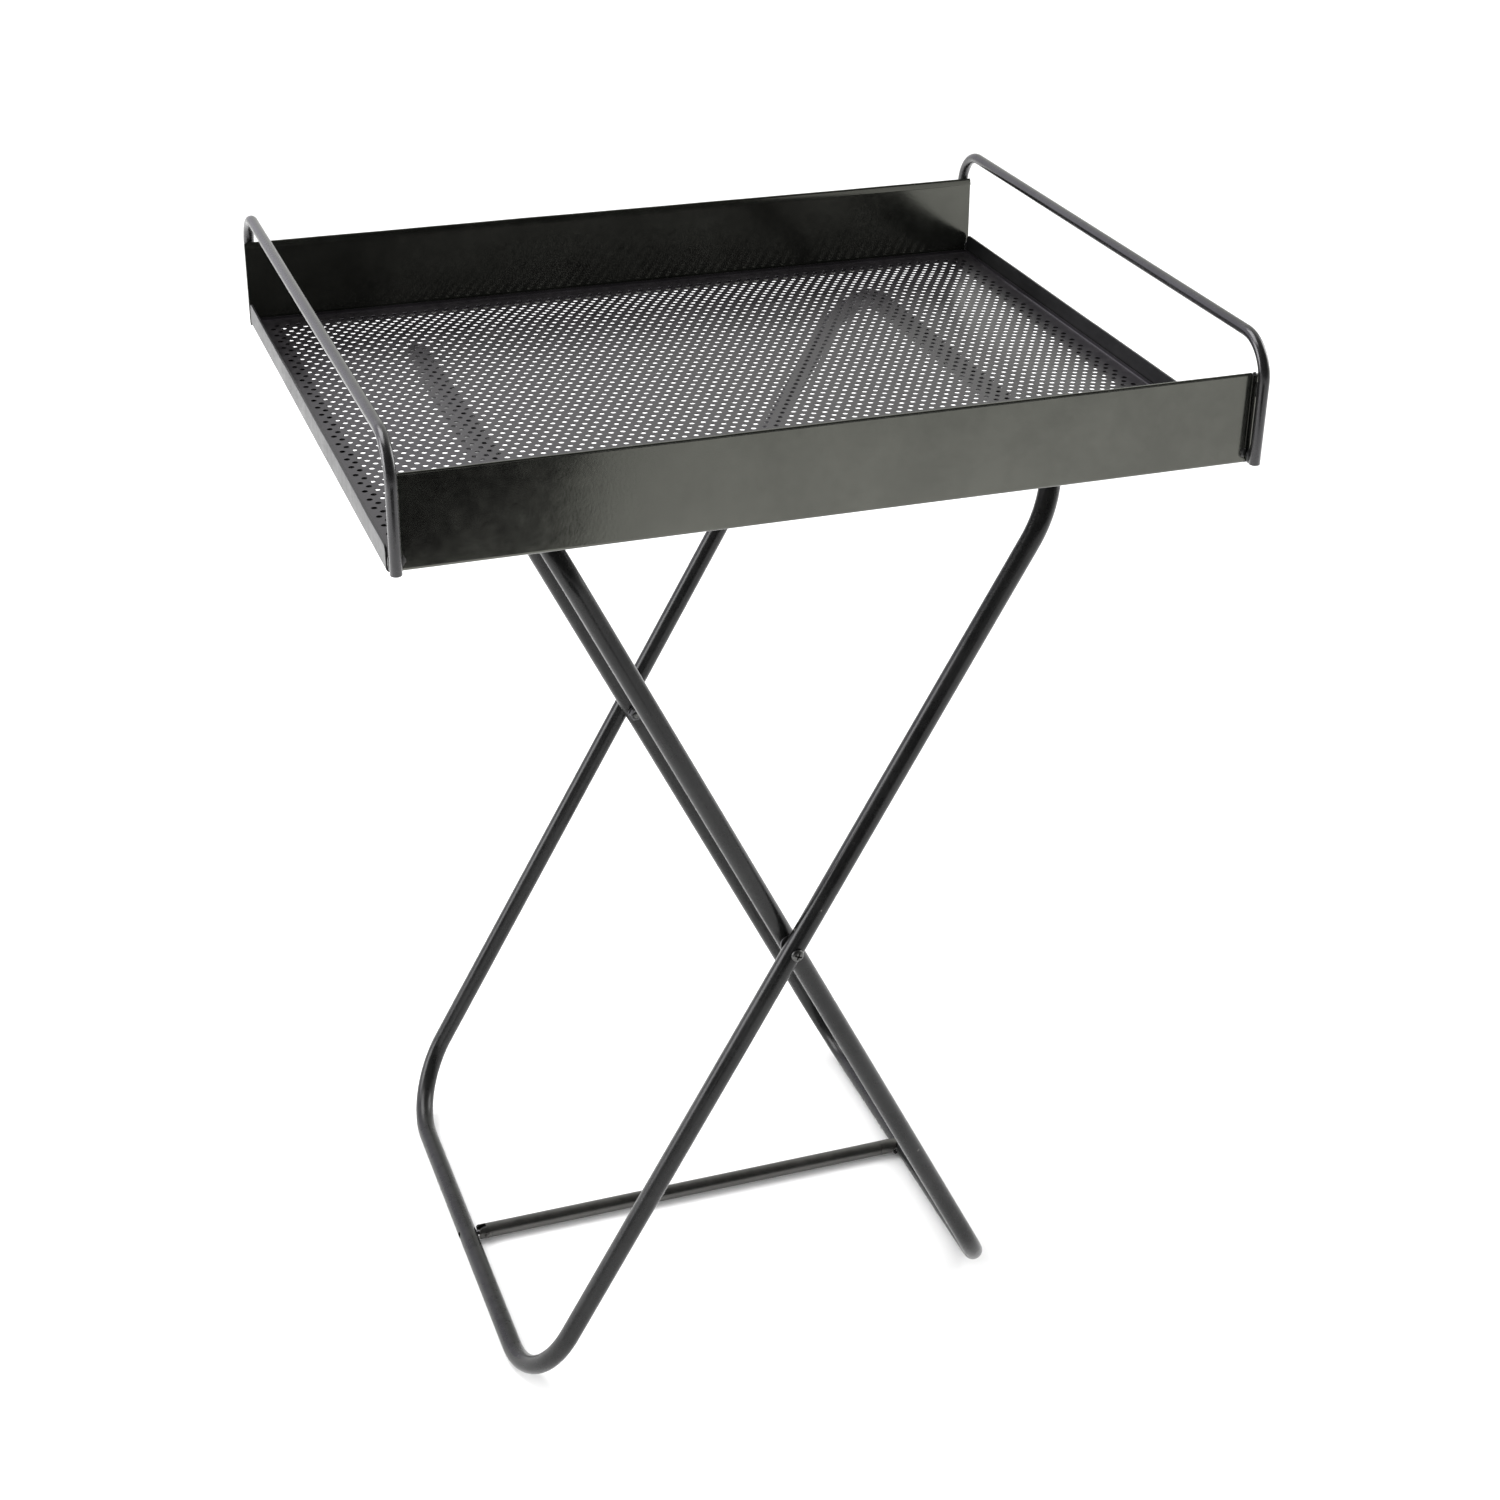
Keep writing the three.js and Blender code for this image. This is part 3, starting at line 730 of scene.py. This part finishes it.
def build_panel(side, node, turned_ends, seed_y, seed_z):
    """An upright sheet. side is -1 in front, +1 at the back; foot and hem fold inwards."""
    lo, hi = box_mm(node)
    bottom, top, half_x = lo[2], hi[2], hi[0]
    web_y = side * PANEL_FACE_Y + PANEL_THICK / 2
    inward = -side
    reach = half_x - (0.4 if turned_ends else 0.0)
    xs = sorted([(-1 + 2 * i / 120) * reach for i in range(121)]
                + [-211.6, -211.0, 211.0, 211.6])

    def place(u, v, x):
        return x, web_y + inward * u, v

    def warp(x, q):
        t = (q[1] - bottom) / (top - bottom)
        ragged = side > 0 and x > reach - 0.6       # right end of the back panel
        dx = 0.7 * math.sin((q[1] - bottom) * 0.20 + 0.4) if ragged else 0.0
        return dx, wave(x, seed_y, 0.16) * t, wave(x, seed_z, 0.12) * t * t

    line = sheet_line([(FOOT_DEPTH, bottom + 0.6), (0.0, bottom + 0.6), (0.0, top - 1.0)],
                      [1.3], 7)
    verts, faces = extrude_sheet(line, PANEL_THICK, xs, place, warp)
    for v in verts:
        if (v.y - web_y) * inward > FOOT_STUB and abs(v.x) > FOOT_END_X:
            v.y = web_y + inward * FOOT_STUB
    sheet = solid(node + "_sheet", (verts, faces))

    # the top edge folds down on the inside
    hem_line = sheet_line([(-0.2, top - 1.02), (-0.2, top - 0.41), (1.0, top - 0.41),
                           (1.22, top - 3.9)], [0.48, 0.55], 7)
    hem_xs = [x * (reach - 0.4) / reach for x in xs]
    parts = [solid("hem", extrude_sheet(hem_line, HEM_THICK, hem_xs, place, warp))]

    # the ends turn back in a small radius, next to the handle rods
    if turned_ends:
        end_line = sheet_line([(reach - 0.02, 0.0), (half_x + END_RETURN, 0.0),
                               (half_x + END_RETURN, 1.2)], [1.0], 8)
        zs = [bottom + 1.4 + (top - 1.0 - bottom - 1.4) * i / 24 for i in range(25)]
        for s in (-1, 1):
            parts.append(solid("return", extrude_sheet(
                end_line, PANEL_THICK, zs,
                lambda u, v, z: (s * u, web_y + inward * v, z),
                lambda z, q: (0.0, wave(s * half_x, seed_y, 0.16) * (z - bottom)
                              / (top - bottom), 0.0))))
    join(sheet, parts)
    finish(sheet, PANEL, "tray", node, smooth=34)


build_panel(-1, "front_panel", turned_ends=True, seed_y=1.7, seed_z=0.6)
build_panel(1, "back_panel", turned_ends=False, seed_y=4.1, seed_z=2.2)

# ------------------------------------------------------------------ angles on the short sides
LIP_FLANGE = 16.0
LIP_CORNER = 3.2            # radius of the top corners


def build_lip(name, node, side):
    lo, hi = box_mm(node)
    reach = abs(lo[0]) if side < 0 else abs(hi[0])
    bottom, top, front, back = lo[2], hi[2], lo[1], hi[1]
    web = reach - PANEL_THICK / 2
    line = sheet_line([(reach - LIP_FLANGE, bottom + 0.6), (web, bottom + 0.6), (web, top)],
                      [1.5], 8)
    # closer stations at both ends, for the rounded corners
    ys = sorted(set([front + k * 0.4 for k in range(9)] + [back - k * 0.4 for k in range(9)]
                    + [front + (back - front) * i / 60 for i in range(61)]))

    def place(u, v, y):
        from_end = min(y - front, back - y)
        drop = 0.0
        if from_end < LIP_CORNER:
            drop = LIP_CORNER - math.sqrt(max(0.0, LIP_CORNER ** 2 - (LIP_CORNER - from_end) ** 2))
        t = max(0.0, (v - bottom - 3.0) / (top - bottom - 3.0))
        return side * u, y, v - drop * t

    def warp(y, q):
        lean = wave(y, 3.3 + side, 0.22) * max(0.0, (q[1] - bottom - 1) / 12.0)
        return lean, 0.0, wave(y, 1.1 * side, 0.08)

    piece(name, extrude_sheet(line, PANEL_THICK, ys, place, warp),
          LIP, "tray", node)


build_lip("left_angle", "lip_left", -1)
build_lip("right_angle", "lip_right", 1)

# ------------------------------------------------------------------ handles
HANDLE_R, HANDLE_BEND = 3.0, 22.0


def build_handle(name, node):
    """A bent rod across one end of the tray. Returns its x."""
    lo, hi = box_mm(node)
    x = (lo[0] + hi[0]) / 2
    front, back = lo[1] + HANDLE_R, hi[1] - HANDLE_R
    bottom, top = lo[2], hi[2] - HANDLE_R
    stations = rounded([(x, front, bottom), (x, front, top), (x, back, top), (x, back, bottom)],
                       HANDLE_BEND, 22)
    piece(name, sweep(domed(stations, HANDLE_R, dome=0.5), [HANDLE_R], 36, oval=0.03),
          HANDLE, "tray", node, smooth=40)
    return x


handle_xs = [build_handle("left_handle", "handle_left"),
             build_handle("right_handle", "handle_right")]


# ------------------------------------------------------------------ weld beads
def bead(centre, size, seed):
    """A small lumpy ball."""
    bm = bmesh.new()
    bmesh.ops.create_icosphere(bm, subdivisions=3, radius=1.0)
    rng = random.Random(seed)
    phase = [rng.uniform(0, 6.28) for _ in range(6)]
    verts = []
    for v in bm.verts:
        x, y, z = v.co
        k = (1 + 0.10 * math.sin(5 * x + phase[0]) * math.sin(4 * z + phase[1])
             + 0.08 * math.sin(9 * z + phase[2] + 3 * y) + 0.05 * math.sin(13 * x + phase[3]))
        verts.append(Vector((x * size[0] * k, y * size[1] * k, z * size[2] * k))
                     + Vector(centre))
    faces = [tuple(v.index for v in f.verts) for f in bm.faces]
    bm.free()
    return verts, faces


def build_welds():
    end = FRONT_HI[0]
    spots = []                          # (centre, half sizes)
    for x in handle_xs:
        s = -1 if x < 0 else 1
        spots += [
            ((s * (end + 0.5), -183.1, RIM_Z - 0.5), (1.3, 0.9, 1.0)),
            ((s * (end - 1.0), -183.4, BASE_Z + 6.0), (1.7, 0.6, 2.6)),
            ((s * (end + 2.1), -184.0, BASE_Z + 4.4), (1.5, 1.5, 3.9)),
            ((s * (end + 2.1), -184.2, RIM_Z - 9.0), (0.9, 1.5, 4.0)),
            ((x, 185.0, BASE_Z + 6.0), (1.4, 0.9, 3.6)),
            ((x, 185.0, RIM_Z - 8.0), (1.4, 0.9, 3.6)),
            ((s * 226.9, -183.1, BASE_Z + 5.5), (0.9, 1.7, 3.8)),
            ((s * 227.1, 182.5, BASE_Z + 5.5), (0.9, 0.9, 4.0))]
    all_verts, all_faces = [], []
    for seed, (centre, size) in enumerate(spots):
        verts, faces = bead(centre, size, seed)
        start = len(all_verts)
        all_verts += verts
        all_faces += [tuple(i + start for i in f) for f in faces]
    piece("tray_welds", (all_verts, all_faces), WELD, "tray", smooth=60)


build_welds()


# ------------------------------------------------------------------ leg loops
def build_loop(letter, top, ground, half, pivot_hole, ground_holes):
    """One closed loop of tube.

    pivot_hole: nearest and farthest |y| of the holes in both legs.
    ground_holes: (start, end, radius) along X from the ground bar's axis.
    """
    stations = rounded([(top[0], 0.3, top[1]), (top[0], half, top[1]),
                        (ground[0], half, ground[1]), (ground[0], -half, ground[1]),
                        (top[0], -half, top[1]), (top[0], -0.3, top[1])], TUBE_BEND, 26)
    tube = solid(f"loop_{letter}_tube", sweep(stations, [TUBE_R, TUBE_BORE_R], 44, oval=0.035))
    near, far = pivot_hole
    tools = [cutter(cylinder((PIVOT_X, start, PIVOT_Z), (PIVOT_X, end, PIVOT_Z), 2.08))
             for start, end in ((-far, -near), (near, far))]
    tools += [cutter(cylinder((ground[0] + start, 0, ground[1]), (ground[0] + end, 0, ground[1]),
                              radius)) for start, end, radius in ground_holes]
    cut(tube, tools)
    finish(tube, TUBE, f"frame_{letter}", f"frame_{letter}_loop", smooth=38)


build_loop("a", LOOP_A_TOP, LOOP_A_GROUND, LOOP_A_HALF, (146, 170),
           [(-9, 0, 2.6), (0, 9, EYE_HOLE_R)])
build_loop("b", LOOP_B_TOP, LOOP_B_GROUND, LOOP_B_HALF, (134, 152), [(-9, 9, EYE_HOLE_R)])

# ------------------------------------------------------------------ pivot hardware
# Heights along the pivot axis are distances from the middle of the table.
PIVOT_ORIGIN = (PIVOT_X, 0, PIVOT_Z)
SCREW_TIP, SCREW_SEAT = 132.1, 162.35   # inner end, and the underside of the head
HEAD_R, HEAD_DOME = 3.6, 1.6
THREAD_PITCH = 0.7
NUT_R = 4.04                            # to the corners of the hexagon
# Ring sections: (radius, face, offset), where face 0 is the inner and 1 the outer one.
SPACER_SECTION = ((2.1, 0, 0.1), (2.25, 0, 0), (5.0, 0, 0), (5.2, 0, 0.2),
                  (5.2, 1, -0.2), (5.0, 1, 0), (2.25, 1, 0), (2.1, 1, -0.1))
WASHER_SECTION = ((2.12, 0, 0.1), (2.3, 0, 0), (4.2, 0, 0), (4.4, 0, 0.18),
                  (4.4, 1, -0.12), (4.25, 1, 0), (2.3, 1, 0), (2.12, 1, -0.1))


def thread(start, stop, first_r, second_r):
    """Zigzag profile of a thread, and the height where it ends."""
    points, height = [], start
    while height < stop:
        points += [(first_r, height), (second_r, height + THREAD_PITCH / 2)]
        height += THREAD_PITCH
    return points, height


def face_heights(node):
    """Inner and outer face of a ring or nut."""
    lo, hi = box_mm(node)
    return sorted((abs(lo[1]), abs(hi[1])))


def build_screw(side, s, turn):
    """Domed screw with a cross cut in its head, turned by an angle in degrees."""
    seat = SCREW_SEAT
    ridges, end = thread(SCREW_TIP + 0.8, SCREW_TIP + 9.0, 1.98, 1.72)
    profile = [(0, SCREW_TIP), (1.35, SCREW_TIP), (1.95, SCREW_TIP + 0.6), *ridges,
               (2.0, end + 0.2), (2.0, seat - 0.15), (2.15, seat), (3.35, seat),
               (3.55, seat + 0.18), (HEAD_R, seat + 0.6)]
    for k in range(1, 9):
        a = math.radians(90 * k / 8)
        profile.append((HEAD_R * math.cos(a) if k < 8 else 0.0,
                        seat + 0.6 + HEAD_DOME * math.sin(a)))
    name = "pivot_screw_" + side
    screw = solid(name + "_head", lathe(profile, 40, PIVOT_ORIGIN, (0, s, 0)))
    centre = (PIVOT_X, s * (seat + HEAD_DOME), PIVOT_Z)
    rotation = Matrix.Rotation(math.radians(turn), 3, "Y")
    y_lo, y_hi = sorted((s * (seat + 0.7), s * (seat + 4)))
    cut(screw, [cutter(block((PIVOT_X - w, y_lo, PIVOT_Z - h), (PIVOT_X + w, y_hi, PIVOT_Z + h),
                             rotation, centre)) for w, h in ((2.15, 0.46), (0.46, 2.15))])
    finish(screw, SCREW, "frame_a", name, smooth=34)


def build_ring(node, section, count, s):
    heights = face_heights(node)
    profile = [(radius, heights[face] + offset) for radius, face, offset in section]
    piece(node + "_ring", lathe(profile, count, PIVOT_ORIGIN, (0, s, 0)),
          ZINC, "frame_a", node)


def build_nut(node, s):
    """Hexagon nut with chamfered corners and a threaded bore."""
    a, b = face_heights(node)
    corners = [math.radians(60 * i) for i in range(6)]
    nut = solid(node + "_hex", prism([(PIVOT_X + NUT_R * math.cos(w),
                                       PIVOT_Z + NUT_R * math.sin(w)) for w in corners],
                                     s * a, s * b))
    chamfer = [(0, a - 0.01), (3.55, a - 0.01), (4.2, a + 0.45), (4.2, b - 0.45),
               (3.55, b + 0.01), (0, b + 0.01)]
    bore = [(0, a - 0.5), (2.5, a - 0.5), (2.5, a), (2.12, a + 0.3),
            *thread(a + 0.5, b - 0.6, 2.1, 2.3)[0],
            (2.12, b - 0.3), (2.5, b), (2.5, b + 0.5), (0, b + 0.5)]
    cut(nut, [cutter(lathe(chamfer, 48, PIVOT_ORIGIN, (0, s, 0)))], "INTERSECT")
    cut(nut, [cutter(lathe(bore, 32, PIVOT_ORIGIN, (0, s, 0)))])
    finish(nut, ZINC, "frame_a", node, smooth=30)


for side, s, turn in (("front", -1, 22), ("back", 1, -31)):
    build_screw(side, s, turn)
    build_ring("pivot_spacer_" + side, SPACER_SECTION, 40, s)
    build_ring("pivot_washer_" + side, WASHER_SECTION, 36, s)
    build_nut("pivot_nut_" + side, s)

# ------------------------------------------------------------------ stay
# It lies along X from the eye bolt on loop A to the stud on loop B's ground bar.
STUD_X = LOOP_B_GROUND[0]
STAY_SEAT_X = STUD_X - 16.2             # where the bar meets its end fitting
STAY_R, STAY_BORE_R = 4.75, 3.75
STAY_ROUND_R = 5.5                      # rounded end about the rivet
RIVET_HOLE_R = 1.38
SLOT_HALF_Y = 1.95                      # half width of the slots for the bolt and the stud


def build_stay_bar():
    along = Vector((1, 0, 0))
    bar = solid("stay_bar", sweep([(Vector((EYE_X - STAY_ROUND_R, 0, STAY_Z)), along, None),
                                   (Vector((STAY_SEAT_X - 0.3, 0, STAY_Z)), along, None)],
                                  [STAY_R, STAY_BORE_R], 44))
    kept = cutter(cylinder((EYE_X, -8, STAY_Z), (EYE_X, 8, STAY_Z), STAY_ROUND_R, 64))
    cut(kept, [cutter(block((EYE_X, -8, STAY_Z - 8), (STAY_SEAT_X + 2, 8, STAY_Z + 8)))], "UNION")
    cut(bar, [kept], "INTERSECT")
    notch = block((EYE_X - 8, -SLOT_HALF_Y, STAY_Z), (EYE_X - 0.2, SLOT_HALF_Y, STAY_Z + 8))
    hole = cylinder((EYE_X, -8, STAY_Z), (EYE_X, 8, STAY_Z), RIVET_HOLE_R)
    cut(bar, [cutter(notch), cutter(hole)])
    finish(bar, STAY, "stay", "stay_tube", smooth=36)


def build_stay_rivet():
    face, dome, head_r = STAY_R + 0.3, 0.7, 2.1
    half = [(0, -face - dome)]
    for degrees in (20, 40, 60, 80):
        a = math.radians(degrees)
        half.append((head_r * math.sin(a), -face - dome * math.cos(a)))
    half += [(head_r, -face), (1.3, -face)]
    profile = half + [(r, -y) for r, y in reversed(half)]
    piece("stay_rivet_pin", lathe(profile, 32, (EYE_X, 0, STAY_Z), (0, 1, 0)),
          STAY, "stay", "stay_rivet", smooth=40)


def build_eye_bolt():
    eye = solid("stay_eye", cylinder((EYE_X, -1.6, STAY_Z), (EYE_X, 1.6, STAY_Z), 3.0, 40))
    cut(eye, [cutter(cylinder((LOOP_A_GROUND[0] - 1.0, 0, STAY_Z), (EYE_X - 2.2, 0, STAY_Z),
                              1.6, 28))], "UNION")
    cut(eye, [cutter(cylinder((EYE_X, -5, STAY_Z), (EYE_X, 5, STAY_Z), RIVET_HOLE_R, 28))])
    finish(eye, DARK, "frame_a", "stay_eye_bolt", smooth=36, bevel=0.25)


def build_stay_end():
    """End fitting: a plug and a nose, cut slantwise about the ground bar, with a T-slot."""
    plug = solid("stay_end_fitting", cylinder((STAY_SEAT_X - 14, 0, STAY_Z),
                                              (STAY_SEAT_X + 0.4, 0, STAY_Z), 3.45, 44))
    nose = cylinder((STAY_SEAT_X, 0, STAY_Z), (STUD_X - 4, 0, STAY_Z), STAY_R, 44)
    cut(plug, [cutter(nose)], "UNION")
    # room for the bar: a half circle drawn out down to the left
    room_r, first_angle = 6.2, 2.618
    outline = []
    for i in range(33):
        t = first_angle - math.pi * i / 32
        outline.append((STUD_X + room_r * math.cos(t), STAY_Z + room_r * math.sin(t)))
    dx, dz = -0.5 * 20, -0.866 * 20
    outline += [(x + dx, z + dz) for x, z in (outline[-1], outline[0])]
    face = STUD_X - 9.3                 # where the wide part of the slot ends
    wide = block((face - 6.4, -3.0, STAY_Z - 8), (face, 3.0, STAY_Z + 3.0))
    narrow = block((face - 1, -SLOT_HALF_Y, STAY_Z - 8),
                   (STUD_X, SLOT_HALF_Y, STAY_Z + SLOT_HALF_Y))
    cut(plug, [cutter(prism(outline, -8, 8)), cutter(wide), cutter(narrow)])
    finish(plug, STAY, "stay", "stay_end", smooth=36, bevel=0.22)


def build_stud():
    head = 9.6                          # from the ground bar's axis to the head
    profile = [(0, -head - 1.3), (1.7, -head - 1.3), (2.35, -head - 1.1), (2.6, -head - 0.8),
               (2.6, -head - 0.1), (2.5, -head), (1.6, -head), (1.6, 6.05), (2.85, 6.05),
               (3.0, 6.2), (2.85, 6.7), (2.3, 7.25), (1.3, 7.65), (0, 7.75)]
    piece("stay_stud_pin", lathe(profile, 36, (STUD_X, 0, STAY_Z), (1, 0, 0)),
          DARK, "frame_b", "stay_stud", smooth=36)


def build_rest_lug():
    inner = STUD_X - 6.05
    lug = solid("stay_rest_lug", block(
        (inner - 1.8, -3.5, STAY_Z - 1.2), (inner, 3.5, STAY_Z + 1.2),
        Matrix.Rotation(-0.61, 3, "Y"), (STUD_X, 0, STAY_Z)))
    finish(lug, WELD, "frame_b", "stay_lug", smooth=40, bevel=0.5,
           bevel_segments=4)


build_stay_bar()
build_stay_rivet()
build_eye_bolt()
build_stay_end()
build_stud()
build_rest_lug()

# pieces that stay as CAD nodes, with their own finish
for node in ("frame_a_ferrule", "frame_b_ferrule", "stay_eye_collar"):
    materials = frame["nodes"][node].data.materials
    materials.clear()
    materials.append(DARK)


# ------------------------------------------------------------------ studio, in metres
def plane(name, width, depth):
    mesh = bpy.data.meshes.new(name)
    w, d = width / 2, depth / 2
    mesh.from_pydata([(-w, -d, 0), (w, -d, 0), (w, d, 0), (-w, d, 0)], [], [(0, 1, 2, 3)])
    ob = bpy.data.objects.new(name, mesh)
    bpy.context.scene.collection.objects.link(ob)
    return ob


def build_studio_floor():
    ob = plane("studio_floor", width=80.0, depth=80.0)
    material, g = new_material("studio_floor")
    matte = g.add("ShaderNodeBsdfPrincipled", {
        "Base Color": (0.86, 0.86, 0.86, 1), "Roughness": 0.9, "Specular IOR Level": 0.1})
    # seen from below, the floor lets the camera through
    clear = g.add("ShaderNodeBsdfTransparent")
    below = g.add("ShaderNodeNewGeometry").outputs["Backfacing"]
    camera_ray = g.add("ShaderNodeLightPath").outputs["Is Camera Ray"]
    show(g, g.mix_shader(g.times(below, camera_ray), matte.outputs[0], clear.outputs[0]))
    ob.data.materials.append(material)
    ob.location.z = -0.0004


def build_flag():
    """A dark board in front of the table, seen only in its reflections."""
    ob = plane("flag_front", width=0.90, depth=0.40)
    ob.location = (-0.338, -1.0, 0.205)
    ob.rotation_euler = Vector((0, 1, 0)).to_track_quat("Z", "Y").to_euler()
    material, g = new_material("flag_front")
    show(g, g.add("ShaderNodeEmission", {"Color": (1, 1, 1, 1), "Strength": 0.004}).outputs[0])
    ob.data.materials.append(material)
    ob.visible_camera = False
    ob.visible_diffuse = False
    ob.visible_shadow = False
    ob.visible_transmission = False


def add_light(name, location, target, size, power):
    """A rectangular lamp aimed at the target."""
    lamp = bpy.data.lights.new(name, "AREA")
    lamp.shape = "RECTANGLE"
    lamp.size, lamp.size_y = size
    lamp.energy = power
    ob = bpy.data.objects.new(name, lamp)
    bpy.context.scene.collection.objects.link(ob)
    ob.location = location
    aim = Vector(target) - Vector(location)
    ob.rotation_euler = aim.to_track_quat("-Z", "Y").to_euler()


def build_world():
    """White for the camera, pale for diffuse light, and dark behind the camera in glossy rays."""
    world = bpy.data.worlds.new("studio")
    bpy.context.scene.world = world
    world.use_nodes = True
    g = Graph(world.node_tree)
    white = (1, 1, 1, 1)
    rays = g.add("ShaderNodeLightPath").outputs
    direction = g.add("ShaderNodeTexCoord").outputs["Generated"]
    to_camera = g.dot(direction, (-0.287, -0.820, 0.493))
    to_left = g.dot(direction, (-1.0, 0.2, 0.0))
    seen = g.add("ShaderNodeBackground", {"Color": white, "Strength": 1.0})
    ambient = g.add("ShaderNodeBackground", {"Color": white, "Strength": 1.15})
    reflected = g.add("ShaderNodeBackground", {
        "Color": g.mix(g.ramp(to_left, start=-0.2, stop=0.7),
                       (0.97, 0.98, 0.93), (1.20, 1.17, 1.31)),
        "Strength": g.ramp(to_camera, start=-0.10, stop=0.55, low=1.0, high=0.04)})
    lit = g.mix_shader(rays["Is Glossy Ray"], ambient.outputs[0], reflected.outputs[0])
    show(g, g.mix_shader(rays["Is Camera Ray"], lit, seen.outputs[0]), "ShaderNodeOutputWorld")


def build_camera():
    camera = bpy.data.cameras.new("camera")
    ob = bpy.data.objects.new("camera", camera)
    bpy.context.scene.collection.objects.link(ob)
    # the camera's own axes
    right = Vector((0.94432, -0.32881, 0.01166)).normalized()
    up = Vector((0.14693, 0.45316, 0.87924)).normalized()
    back = Vector((-0.29439, -0.82857, 0.47624)).normalized()
    turn = Matrix((right, up, back)).transposed()
    place = Matrix.Translation(Vector((-0.43528, -1.24189, 1.04724)))
    ob.matrix_world = place @ turn.to_4x4()
    camera.lens = 60.55
    camera.sensor_width = 36.0
    camera.shift_x = 0.0148
    camera.shift_y = -0.0055
    camera.clip_start, camera.clip_end = 0.01, 100.0
    bpy.context.scene.camera = ob


build_studio_floor()
add_light("key", location=(-0.9, 0.6, 2.6), target=(0, 0, 0.4), size=(1.6, 1.6), power=50)
add_light("left", location=(-2.4, 0.5, 1.1), target=(0, 0, 0.45), size=(1.2, 1.6), power=45)
add_light("right", location=(2.4, 0.2, 1.3), target=(0, 0, 0.4), size=(1.2, 1.4), power=30)
build_flag()
build_world()
build_camera()
bpy.context.scene.view_settings.view_transform = "Standard"
bpy.context.scene.view_settings.look = "None"
